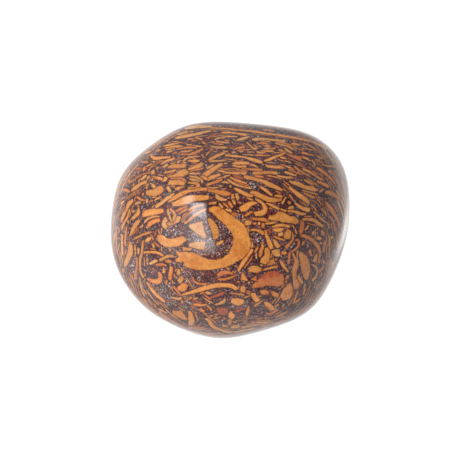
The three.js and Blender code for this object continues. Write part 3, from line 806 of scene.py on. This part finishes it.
class Surface:
    """The stone's surface as arrays in millimetres, with what each face is told of the fragments near it."""

    # The side of the cells that the faces are sorted into
    CELL = 1.5

    def __init__(self, pebble, camera):
        mesh = pebble.data
        self.points = np.empty(len(mesh.vertices) * 3)
        mesh.vertices.foreach_get("co", self.points)
        self.points = self.points.reshape(-1, 3) / MM
        self.faces = np.empty(len(mesh.polygons) * 3, int)
        mesh.loops.foreach_get("vertex_index", self.faces)
        self.faces = self.faces.reshape(-1, 3)
        self.middles = self.points[self.faces].mean(axis=1)
        edges = self.points[self.faces[:, 1:]] - self.points[self.faces[:, :1]]
        normals = np.cross(edges[:, 0], edges[:, 1])
        self.areas = np.linalg.norm(normals, axis=1) / 2
        self.normals = normals / (2 * self.areas[:, None])
        self.tree = BVHTree.FromPolygons(self.points.tolist(), self.faces.tolist())
        self.eye = np.array(camera.location) / MM
        self.cells = {}
        keys = np.floor(self.middles / self.CELL).astype(int)
        order = np.lexsort(keys.T)
        breaks = np.flatnonzero(np.any(np.diff(keys[order], axis=0), axis=1)) + 1
        for group in np.split(order, breaks):
            self.cells[tuple(keys[group[0]])] = group
        count = len(self.faces)
        self.distance = np.full((count, LAYERS), np.inf)
        self.rank = np.full((count, LAYERS), np.inf)
        self.place = np.full((count, LAYERS, 3, 3), FAR)
        self.look = np.zeros((count, LAYERS, 3))
        self.cover = np.full(count, np.inf)
        self.laid = 0

    def near(self, place, reach):
        """The faces within about reach of a place."""
        low = np.floor((place - reach) / self.CELL).astype(int)
        high = np.floor((place + reach) / self.CELL).astype(int)
        found = []
        for i in range(low[0], high[0] + 1):
            for j in range(low[1], high[1] + 1):
                for k in range(low[2], high[2] + 1):
                    group = self.cells.get((i, j, k))
                    if group is not None:
                        found.append(group)
        return np.concatenate(found) if found else np.empty(0, int)

    def seen_at(self, x, y):
        """Where the camera's ray through a pixel meets the stone, and the way the surface faces there."""
        across = (x - PICTURE_MIDDLE) / PICTURE_SIDE * SENSOR / LENS
        upward = (PICTURE_MIDDLE - y) / PICTURE_SIDE * SENSOR / LENS
        ray = RIGHT * across + UPWARD * upward - NEARER
        place, normal, _, _ = self.tree.ray_cast(Vector(self.eye), ray.normalized())
        if place is None:
            return None, None
        return np.array(place), np.array(normal)

    def lay(self, faces, placing, look):
        """Tells faces of one fragment. placing gives the end distance, offset and half width at points."""
        corners = placing(self.points[self.faces[faces]].reshape(-1, 3)).reshape(-1, 3, 3)
        middle = shape_distance(placing(self.middles[faces]), look[2])
        closest = np.minimum(middle, shape_distance(corners, look[2]).min(axis=1))
        kept = closest < EDGE_REACH
        faces, corners, middle, closest = faces[kept], corners[kept], middle[kept], closest[kept]
        worst = self.distance[faces].argmax(axis=1)
        better = closest < self.distance[faces, worst]
        faces, corners, middle, closest, worst = (
            values[better] for values in (faces, corners, middle, closest, worst)
        )
        self.distance[faces, worst] = closest
        self.rank[faces, worst] = self.laid
        self.place[faces, worst] = corners
        self.look[faces, worst] = look
        self.cover[faces] = np.minimum(self.cover[faces], middle)
        self.laid += 1

    def write(self, mesh):
        """Stores each layer on the mesh: where each corner is in its fragment, and the fragment's look."""
        order = np.argsort(self.rank, axis=1)
        rows = np.arange(len(self.faces))
        for layer in range(LAYERS):
            chosen = order[:, layer]
            place = mesh.attributes.new(f"shell_place_{layer}", "FLOAT_VECTOR", "CORNER")
            place.data.foreach_set("vector", self.place[rows, chosen].ravel())
            look = mesh.attributes.new(f"shell_look_{layer}", "FLOAT_VECTOR", "FACE")
            look.data.foreach_set("vector", self.look[rows, chosen].ravel())


def shape_distance(placing, reach):
    """How far points are outside a fragment, from their places in it and its half width there."""
    return np.maximum(np.abs(placing[..., 0]) - reach, np.abs(placing[..., 1]) - placing[..., 2])


def tint_place(tint):
    """Where a tint lies on the material's row of colours."""
    return (list(TINTS).index(tint) + 0.5) / len(TINTS)


def smooth_line(points, step=2.5):
    """Points at even steps on a smooth line through points, with their widths."""
    points = np.array(points, float)
    padded = np.vstack([2 * points[0] - points[1], points, 2 * points[-1] - points[-2]])
    line = []
    for a, b, c, d in zip(padded, padded[1:], padded[2:], padded[3:]):
        count = max(1, math.ceil(math.dist(b[:2], c[:2]) / step))
        for t in np.arange(count) / count:
            bend = (c - a) * t + (2 * a - 5 * b + 4 * c - d) * t**2 + (3 * b - a - 3 * c + d) * t**3
            line.append(b + bend / 2)
    line.append(points[-1])
    return np.array(line)


def lay_seen_shell(surface, tint, points, random):
    """Lays a shell along a line given in the picture's pixels."""
    line = smooth_line(points)
    places, normals, widths = [], [], []
    # The stone's slope stretches a shell, so its width is taken from where two pixels beside the line lie.
    for k, (x, y, width) in enumerate(line):
        ahead = line[min(k + 1, len(line) - 1)] - line[max(k - 1, 0)]
        side = np.array([-ahead[1], ahead[0]]) / math.hypot(*ahead[:2])
        place, normal = surface.seen_at(x, y)
        edges = [surface.seen_at(*(line[k, :2] + side * way * SIDE_STEP))[0] for way in (-1, 1)]
        if place is None or edges[0] is None or edges[1] is None:
            continue
        places.append(place)
        normals.append(normal)
        widths.append((edges[1] - edges[0], width / (2 * SIDE_STEP)))
    if len(places) < 2:
        return
    places, normals = np.array(places), np.array(normals)
    steps = np.diff(places, axis=0)
    lengths = np.linalg.norm(steps, axis=1)
    ways = steps / lengths[:, None]
    sides = np.cross(normals[:-1], ways)
    sides /= np.linalg.norm(sides, axis=1)[:, None]
    start = np.concatenate([[0], np.cumsum(lengths)])
    halves = []
    for k, (span, share) in enumerate(widths):
        halves.append(abs(span @ sides[min(k, len(sides) - 1)]) * share / 2)
    halves = np.array(halves)
    # The first and the last stretch run on past their ends.
    lowest, highest = np.zeros(len(lengths)), lengths.copy()
    lowest[0], highest[-1] = -np.inf, np.inf

    def placing(points):
        away = points[:, None, :] - places[None, :-1]
        along = np.einsum("psk,sk->ps", away, ways)
        inside = np.clip(along, lowest, highest)
        rest = away - inside[:, :, None] * ways
        nearest = np.einsum("psk,psk->ps", rest, rest).argmin(axis=1)
        row = np.arange(len(points))
        travelled = start[nearest] + inside[row, nearest]
        offset = np.einsum("pk,pk->p", away[row, nearest], sides[nearest])
        half = np.interp(travelled, start, halves)
        return np.stack([travelled - start[-1] / 2, offset, half], axis=1)

    middle = (places.min(axis=0) + places.max(axis=0)) / 2
    reach = np.linalg.norm(np.ptp(places, axis=0)) / 2 + halves.max() + EDGE_REACH
    faces = surface.near(middle, reach)
    surface.lay(faces, placing, (tint_place(tint), random.random(), start[-1] / 2))


def lay_seen_grains(surface, random):
    """Lays the large grains of sand, each a short fragment as wide as it is long."""
    for tint, *grains in GRAINS:
        for x, y, size in grains:
            half = size * 0.4
            line = [(x - half, y, size * 0.5), (x, y, size * 0.9), (x + half, y, size * 0.5)]
            lay_seen_shell(surface, tint, line, random)


def lay_random_shells(surface, random):
    """Fills the rest of the stone with shells that lie in its beds, wherever there is room for one."""
    for x, y, radius in BARE_PLACES + SAND_PATCHES["clean"]:
        middle = surface.seen_at(x, y)[0]
        reach = radius / PIXELS_PER_MM * BARE_SHARE
        faces = surface.near(middle, reach)
        away = np.linalg.norm(surface.middles[faces] - middle, axis=1)
        surface.cover[faces[away < reach]] = -1
    beds = np.array(BED_FACES.x * RIGHT + BED_FACES.y * UPWARD + BED_FACES.z * NEARER)
    share = surface.areas / surface.areas.sum()
    tints = [tint_place(tint) for tint in TINT_SHARES]
    shares = list(TINT_SHARES.values())
    for tries, lengths, thicknesses, kept_if_shown in RANDOM_ROUNDS:
        for start in random.choice(len(share), tries, p=share):
            heart, normal = surface.middles[start], surface.normals[start]
            shown = np.clip((normal @ np.array(NEARER) - SHOWN_FACING) / SHOWN_FACING, 0, 1)
            if surface.cover[start] < MIDDLE_ROOM or random.random() < shown * (1 - kept_if_shown):
                continue
            bed = beds + random.normal(0, BED_SCATTER, 3)
            bed /= np.linalg.norm(bed)
            way = np.cross(normal, bed)
            steep = np.linalg.norm(way)
            way /= steep
            side = np.cross(normal, way)
            # A bed that is cut at a slant shows its shells wider, and none is as wide as it is long.
            length = random.uniform(*lengths)
            half = min(random.uniform(*thicknesses) / max(steep, 0.3), length * 0.45) / 2
            bow = random.normal(0, 0.05)
            narrowing = random.uniform(-0.5, 0.5)
            point = random.uniform(0, 0.8)
            slant = random.normal(0, 0.5)

            def placing(points):
                away = points - heart
                along = away @ way
                offset = away @ side - bow * (along**2 - length**2 / 12)
                part = np.clip(along / (length / 2), -1.3, 1.3)
                wide = half * (1 + narrowing * part - point * part**4)
                return np.stack([along + slant * offset, offset, np.maximum(wide, 0.02)], axis=1)

            faces = surface.near(heart, length / 2 + half + EDGE_REACH)
            faces = faces[surface.normals[faces] @ normal > SAME_SIDE]
            inside = shape_distance(placing(surface.middles[faces]), length / 2) < MARGIN
            if not inside.any():
                continue
            taken = (surface.cover[faces[inside]] < MARGIN_ROOM).mean()
            if taken > MOST_TAKEN:
                continue
            tint = random.choice(tints, p=shares)
            surface.lay(faces, placing, (tint, random.random(), length / 2))


def join(tree, value, socket):
    """Gives a socket a plain value, or links it to another node's output."""
    if isinstance(value, bpy.types.NodeSocket):
        tree.links.new(value, socket)
    else:
        socket.default_value = value


def node(tree, kind, inputs=None, **settings):
    """Adds a node with its settings. inputs gives sockets, by name or number, a value or a link."""
    made = tree.nodes.new(kind)
    for name, value in settings.items():
        setattr(made, name, value)
    for name, value in (inputs or {}).items():
        join(tree, value, made.inputs[name])
    return made


def calc(tree, operation, *values):
    """One Math node's result."""
    made = node(tree, "ShaderNodeMath", operation=operation)
    for socket, value in zip(made.inputs, values):
        join(tree, value, socket)
    return made.outputs[0]


def vector_calc(tree, operation, *values):
    """One Vector Math node's result."""
    made = node(tree, "ShaderNodeVectorMath", operation=operation)
    for socket, value in zip(made.inputs, values):
        join(tree, value, socket)
    return made.outputs[0]


def split(tree, vector):
    """A vector's three numbers."""
    return node(tree, "ShaderNodeSeparateXYZ", {0: vector}).outputs


def noise(tree, spot, scale, detail, roughness):
    """A noise's two outputs: its value and its colour."""
    inputs = {"Vector": spot, "Scale": scale, "Detail": detail, "Roughness": roughness}
    made = node(tree, "ShaderNodeTexNoise", inputs)
    return made.outputs["Fac"], made.outputs["Color"]


def split_colour(tree, colour):
    """A colour's red, green and blue."""
    return node(tree, "ShaderNodeSeparateColor", {0: colour}).outputs


def spread(tree, value, low, high, least=0.0, most=1.0):
    """Takes a value from one range to another, and holds it at the ends."""
    inputs = {"Value": value, "From Min": low, "From Max": high, "To Min": least, "To Max": most}
    return node(tree, "ShaderNodeMapRange", inputs).outputs[0]


def mix_colour(tree, factor, first, second, blend="MIX"):
    """A mix of two colours. The node's colours are its sockets 6 and 7, and its result is its third."""
    made = node(tree, "ShaderNodeMix", data_type="RGBA", blend_type=blend)
    for socket, value in zip((made.inputs[0], made.inputs[6], made.inputs[7]), (factor, first, second)):
        join(tree, value, socket)
    return made.outputs[2]


def tinted(tree, colour, tint):
    """A colour times another colour or a number."""
    return mix_colour(tree, 1.0, colour, tint, "MULTIPLY")


def ramp(tree, factor, stops, interpolation="LINEAR"):
    """A colour ramp's colour. stops are positions with linear colours."""
    made = node(tree, "ShaderNodeValToRGB", {0: factor})
    made.color_ramp.interpolation = interpolation
    elements = made.color_ramp.elements
    while len(elements) < len(stops):
        elements.new(0.5)
    for element, (position, colour) in zip(elements, stops):
        element.position = position
        element.color = (*colour, 1)
    return made.outputs[0]


def shell_layer_group():
    """Lays one layer of fragments over what is there, and passes on the nearest one's look and place."""
    group = bpy.data.node_groups.new("shell_layer", "ShaderNodeTree")
    for name in ("Place", "Look", "Ragged", "Look so far", "Place so far"):
        group.interface.new_socket(name, in_out="INPUT", socket_type="NodeSocketVector")
    group.interface.new_socket("Distance", in_out="INPUT", socket_type="NodeSocketFloat")
    group.interface.new_socket("Distance", in_out="OUTPUT", socket_type="NodeSocketFloat")
    group.interface.new_socket("Look", in_out="OUTPUT", socket_type="NodeSocketVector")
    group.interface.new_socket("Place", in_out="OUTPUT", socket_type="NodeSocketVector")
    given = group.nodes.new("NodeGroupInput").outputs
    half = split(group, given["Place"])[2]
    roughly = calc(group, "MULTIPLY_ADD", half, 0.35, 0.32)
    shift = node(group, "ShaderNodeVectorMath", {0: given["Ragged"], "Scale": roughly}, operation="SCALE")
    place = vector_calc(group, "ADD", given["Place"], shift.outputs[0])
    along, offset, half = split(group, place)
    _, seed, reach = split(group, given["Look"])
    # Each fragment's ends are cut at a slant of its own, which comes from its seed.
    slant = calc(group, "SUBTRACT", calc(group, "FRACT", calc(group, "MULTIPLY", seed, 7.0)), 0.5)
    along = calc(group, "MULTIPLY_ADD", offset, slant, along)
    past_end = calc(group, "SUBTRACT", calc(group, "ABSOLUTE", along), reach)
    past_side = calc(group, "SUBTRACT", calc(group, "ABSOLUTE", offset), half)
    outside = calc(group, "SMOOTH_MAX", past_end, past_side, CORNER_ROUNDING)
    gap = calc(group, "SUBTRACT", RIM_GAP, given["Distance"])
    below = calc(group, "MAXIMUM", outside, gap)
    nearer = calc(group, "LESS_THAN", below, given["Distance"])
    out = group.nodes.new("NodeGroupOutput")
    join(group, calc(group, "MINIMUM", below, given["Distance"]), out.inputs["Distance"])
    for name, value in (("Look", given["Look"]), ("Place", place)):
        # The node's vectors are its sockets 4 and 5, and their mix is its second result.
        chosen = node(group, "ShaderNodeMix", data_type="VECTOR")
        join(group, nearer, chosen.inputs[0])
        join(group, given[f"{name} so far"], chosen.inputs[4])
        join(group, value, chosen.inputs[5])
        join(group, chosen.outputs[1], out.inputs[name])
    return group


def nearest_shell(tree, spot):
    """The distance out of the nearest fragment, with its look and the place in it."""
    _, ragged = noise(tree, spot, 1.9, 5.0, 0.75)
    ragged = vector_calc(tree, "SUBTRACT", ragged, (0.5, 0.5, 0.5))
    ragged = vector_calc(tree, "MULTIPLY", ragged, (0.8, 0.8, 0.1))
    group = shell_layer_group()
    found = {"Distance": FAR, "Look": (0, 0, 0), "Place": (0, 0, 0)}
    for layer in range(LAYERS):
        place = node(tree, "ShaderNodeAttribute", attribute_name=f"shell_place_{layer}").outputs["Vector"]
        look = node(tree, "ShaderNodeAttribute", attribute_name=f"shell_look_{layer}").outputs["Vector"]
        step = node(tree, "ShaderNodeGroup", node_tree=group)
        join(tree, place, step.inputs["Place"])
        join(tree, look, step.inputs["Look"])
        join(tree, ragged, step.inputs["Ragged"])
        join(tree, found["Distance"], step.inputs["Distance"])
        join(tree, found["Look"], step.inputs["Look so far"])
        join(tree, found["Place"], step.inputs["Place so far"])
        found = step.outputs
    return found["Distance"], found["Look"], found["Place"]


def shell_colour(tree, spot, distance, look, place, surface):
    """A shell's tint, clouded and streaked along its growth lines, and deeper towards its edge."""
    tint, seed, _ = split(tree, look)
    stops = [(k / len(TINTS), colour) for k, colour in enumerate(TINTS.values())]
    colour = ramp(tree, tint, stops, "CONSTANT")
    cloud, _ = noise(tree, spot, 1.3, 6.0, 0.72)
    deep = patches(tree, spot, surface, SHELL_PATCHES["deep"], 0.13)
    cloud = calc(tree, "SUBTRACT", cloud, deep)
    cloud = ramp(tree, cloud, [(0.3, (0.8, 0.64, 0.5)), (0.5, (1, 1, 1)), (0.7, (1.12, 1.2, 1.3))])
    colour = tinted(tree, colour, cloud)
    lines = vector_calc(tree, "MULTIPLY", place, (0.5, 4.5, 0))
    lines = vector_calc(tree, "ADD", lines, vector_calc(tree, "MULTIPLY", look, (0, 90, 0)))
    streak, _ = noise(tree, lines, 1.0, 3.0, 0.6)
    colour = tinted(tree, colour, spread(tree, streak, 0.3, 0.7, 0.86, 1.1))
    colour = tinted(tree, colour, spread(tree, seed, 0, 1, 0.88, 1.12))
    speckle, _ = noise(tree, spot, 5.5, 2.0, 0.8)
    speckle = ramp(tree, speckle, [(0.33, (0.8, 0.66, 0.55)), (0.5, (1, 1, 1)), (0.67, (1.1, 1.22, 1.4))])
    colour = tinted(tree, colour, speckle)
    # The second change is a painted reflection: near the outline it greys the shells as if they mirrored
    # white light.
    changes = (("red", 0.9, (0.75, 0.42, 0.6, 1)), ("painted_rim_sheen", 0.8, (0.85, 1.05, 2.2, 1)))
    for kind, strength, change in changes:
        here = patches(tree, spot, surface, SHELL_PATCHES[kind], strength)
        colour = mix_colour(tree, here, colour, tinted(tree, colour, change))
    edge = spread(tree, distance, -0.16, -0.01)
    return mix_colour(tree, edge, colour, tinted(tree, colour, (0.86, 0.72, 0.66, 1)))


def patches(tree, spot, surface, circles, strength):
    """How strongly some patches show at a point, from 0 outside them to their strength in the middle."""
    most = 0.0
    for x, y, radius in circles:
        middle = tuple(surface.seen_at(x, y)[0])
        away = node(tree, "ShaderNodeVectorMath", {0: spot, 1: middle}, operation="DISTANCE")
        radius = radius / PIXELS_PER_MM
        inside = spread(tree, away.outputs["Value"], radius * 1.2, radius * 0.5)
        most = calc(tree, "MAXIMUM", inside, most)
    return calc(tree, "MULTIPLY", most, strength)


def sand_colour(tree, spot, surface):
    """Dark iron-stained sand with maroon clouds, and pale grains strewn more thickly in some places."""
    _, cloud = noise(tree, spot, 0.55, 3.0, 0.6)
    red_cloud, grain_cloud, _ = split_colour(tree, cloud)
    maroon = patches(tree, spot, surface, SAND_PATCHES["maroon"], 0.16)
    red_cloud = calc(tree, "ADD", red_cloud, maroon)
    grainy = patches(tree, spot, surface, SAND_PATCHES["grainy"], 0.2)
    clean = patches(tree, spot, surface, SAND_PATCHES["clean"], 0.2)
    grain_cloud = calc(tree, "SUBTRACT", calc(tree, "ADD", grain_cloud, grainy), clean)
    fine, fine_shift = noise(tree, spot, 5.0, 3.0, 0.75)
    stops = [(0.3, (0.012, 0.004, 0.005)), (0.5, (0.038, 0.011, 0.012)), (0.7, (0.085, 0.029, 0.029))]
    mud = ramp(tree, fine, stops)
    redness = spread(tree, red_cloud, 0.5, 0.64, 0.0, 0.7)
    mud = mix_colour(tree, redness, mud, mix_colour(tree, 0.5, mud, (0.14, 0.02, 0.016, 1)))
    bent = vector_calc(tree, "MULTIPLY", fine_shift, (0.25, 0.25, 0.25))
    bent = vector_calc(tree, "ADD", spot, bent)
    grains = node(tree, "ShaderNodeTexVoronoi", {"Vector": bent, "Scale": 5.4})
    chance, kind, _ = split_colour(tree, grains.outputs["Color"])
    strewn = calc(tree, "ADD", chance, spread(tree, grain_cloud, 0.38, 0.68, -0.34, 0.2))
    stops = [
        (0.0, (0.19, 0.06, 0.024)),
        (0.3, (0.1, 0.04, 0.036)),
        (0.6, (0.11, 0.062, 0.062)),
        (0.9, (0.17, 0.12, 0.12)),
        (1.0, (0.31, 0.27, 0.25)),
    ]
    grain = ramp(tree, kind, stops)
    sand = mix_colour(tree, spread(tree, strewn, 0.6, 0.66), mud, grain)
    grit, _ = noise(tree, spot, 5.0, 1.0, 0.6)
    grit = spread(tree, grit, 0.38, 0.64, 0.25, 2.1)
    return tinted(tree, sand, grit)


def jasper_material(surface):
    """Polished jasper: shells with dark rims in a dark sand."""
    material = bpy.data.materials.new("polished_coquina_jasper")
    material.use_nodes = True
    tree = material.node_tree
    tree.nodes.clear()
    metres = node(tree, "ShaderNodeTexCoord").outputs["Object"]
    in_mm = node(tree, "ShaderNodeVectorMath", {0: metres, "Scale": 1 / MM}, operation="SCALE")
    spot = in_mm.outputs[0]
    distance, look, place = nearest_shell(tree, spot)
    sand = sand_colour(tree, spot, surface)
    rim = spread(tree, distance, 0.13, 0.05, 0.0, 0.75)
    sand = mix_colour(tree, rim, sand, (0.02, 0.006, 0.006, 1))
    shell = shell_colour(tree, spot, distance, look, place, surface)
    colour = mix_colour(tree, spread(tree, distance, 0.04, -0.02), sand, shell)
    shader = node(tree, "ShaderNodeBsdfPrincipled", {"Base Color": colour, "Roughness": 0.08, "IOR": 1.48})
    node(tree, "ShaderNodeOutputMaterial", {"Surface": shader.outputs[0]})
    return material


def lobe(tree, way, middle, narrowness):
    """How strongly a soft glow round one direction shows in another."""
    facing = node(tree, "ShaderNodeVectorMath", {0: way, 1: middle}, operation="DOT_PRODUCT")
    return calc(tree, "POWER", calc(tree, "MAXIMUM", facing.outputs["Value"], 0.0), narrowness)


def floor_material():
    """A white table that glows, more strongly in a few places outside the picture that the rim mirrors."""
    material = bpy.data.materials.new("white_table")
    material.use_nodes = True
    tree = material.node_tree
    place = node(tree, "ShaderNodeTexCoord").outputs["Object"]
    away = node(tree, "ShaderNodeVectorMath", {0: place}, operation="LENGTH").outputs["Value"]
    way = node(tree, "ShaderNodeVectorMath", {0: place}, operation="NORMALIZE").outputs[0]
    lit = spread(tree, away, *TABLE_CHANGE, *TABLE_EVEN)
    for azimuth, narrowness, sets_in, fades_out, strength in TABLE_GLOWS:
        glow = lobe(tree, way, compass_way(azimuth, 0), narrowness)
        glow = calc(tree, "MULTIPLY", glow, spread(tree, away, *sets_in))
        glow = calc(tree, "MULTIPLY", glow, spread(tree, away, *fades_out, 1.0, 0.0))
        lit = calc(tree, "MULTIPLY_ADD", glow, strength, lit)
    shader = tree.nodes["Principled BSDF"]
    shader.inputs["Base Color"].default_value = (0.12, 0.12, 0.12, 1)
    shader.inputs["Roughness"].default_value = 0.8
    shader.inputs["Specular IOR Level"].default_value = 0.1
    shader.inputs["Emission Color"].default_value = (1, 1, 1, 1)
    join(tree, lit, shader.inputs["Emission Strength"])
    return material


def make_floor():
    """The table. It is left out of the diffuse light, which would brighten the stone from below."""
    bm = bmesh.new()
    bmesh.ops.create_grid(bm, x_segments=1, y_segments=1, size=TABLE_HALF)
    table = mesh_object("table", bm)
    table.data.materials.append(floor_material())
    table.visible_diffuse = False


def room_light():
    """A dim room that glows softly from all round, most of all on the left."""
    world = bpy.data.worlds.new("soft_room")
    world.use_nodes = True
    tree = world.node_tree
    way = node(tree, "ShaderNodeTexCoord").outputs["Generated"]
    total = 0.0
    for azimuth, elevation, strength in ROOM_GLOWS:
        glow = lobe(tree, way, compass_way(azimuth, elevation), GLOW_NARROWNESS)
        total = calc(tree, "MULTIPLY_ADD", glow, strength, total)
    join(tree, total, tree.nodes["Background"].inputs["Strength"])
    tree.nodes["Background"].inputs["Color"].default_value = (1, 1, 1, 1)
    bpy.context.scene.world = world


def mirrored(surface, x, y):
    """The place on the stone at a pixel, in metres, and the way that the camera sees by reflection there."""
    place, normal = surface.seen_at(x, y)
    sight = place - surface.eye
    sight /= np.linalg.norm(sight)
    return Vector(place) * MM, Vector(sight - 2 * (sight @ normal) * normal)


def area_light(name, wide, tall, radiance):
    """A flat light in the scene that is as bright all over as its radiance says."""
    data = bpy.data.lights.new(name, "AREA")
    data.shape = "RECTANGLE"
    data.size = wide
    data.size_y = tall
    data.energy = radiance * math.pi * data.size * data.size_y
    light = bpy.data.objects.new(name, data)
    bpy.context.collection.objects.link(light)
    return light


def add_panel(surface, name, corners, radiance):
    """A soft panel of light that the camera sees reflected between four pixels of the picture."""
    x, y = np.mean(corners, axis=0)
    place, way = mirrored(surface, x, y)
    middle = place + way * PANEL_DISTANCE
    hits = []
    for pixel in corners:
        start, ray = mirrored(surface, *pixel)
        hits.append(start + ray * ((middle - start) @ way / (ray @ way)))
    across = (hits[1] - hits[0] + hits[2] - hits[3]) / 2
    up = (hits[0] - hits[3] + hits[1] - hits[2]) / 2
    panel = area_light(name, across.length, up.length, radiance)
    across.normalize()
    panel.matrix_world = Matrix((across, way.cross(across), way)).transposed().to_4x4()
    panel.location = sum(hits, Vector()) / len(hits)


def front_light():
    """The broad light beside the camera, hidden from the polish."""
    azimuth, elevation, distance, size = FRONT_LIGHT
    way = Vector(compass_way(azimuth, elevation))
    light = area_light("front_light", size, size, FRONT_RADIANCE)
    light.rotation_euler = way.to_track_quat("Z", "Y").to_euler()
    light.location = way * distance
    light.visible_glossy = False


def make_lights(surface):
    """The room's glow, the front light, and the softbox where the photograph shows its reflection."""
    room_light()
    front_light()
    for k, (*corners, radiance) in enumerate(SOFTBOXES):
        add_panel(surface, f"softbox_{k}", corners, radiance)


random = np.random.default_rng(PATTERN_SEED)
pebble, heart = make_stone()
camera = make_camera(heart)
surface = Surface(pebble, camera)
lay_seen_grains(surface, random)
for tint, *points in SHELLS:
    lay_seen_shell(surface, tint, points, random)
lay_random_shells(surface, random)
surface.write(pebble.data)
pebble.data.materials.append(jasper_material(surface))
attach(pebble, "root")
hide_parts("stone")
make_floor()
make_lights(surface)
bpy.context.scene.view_settings.view_transform = "Standard"
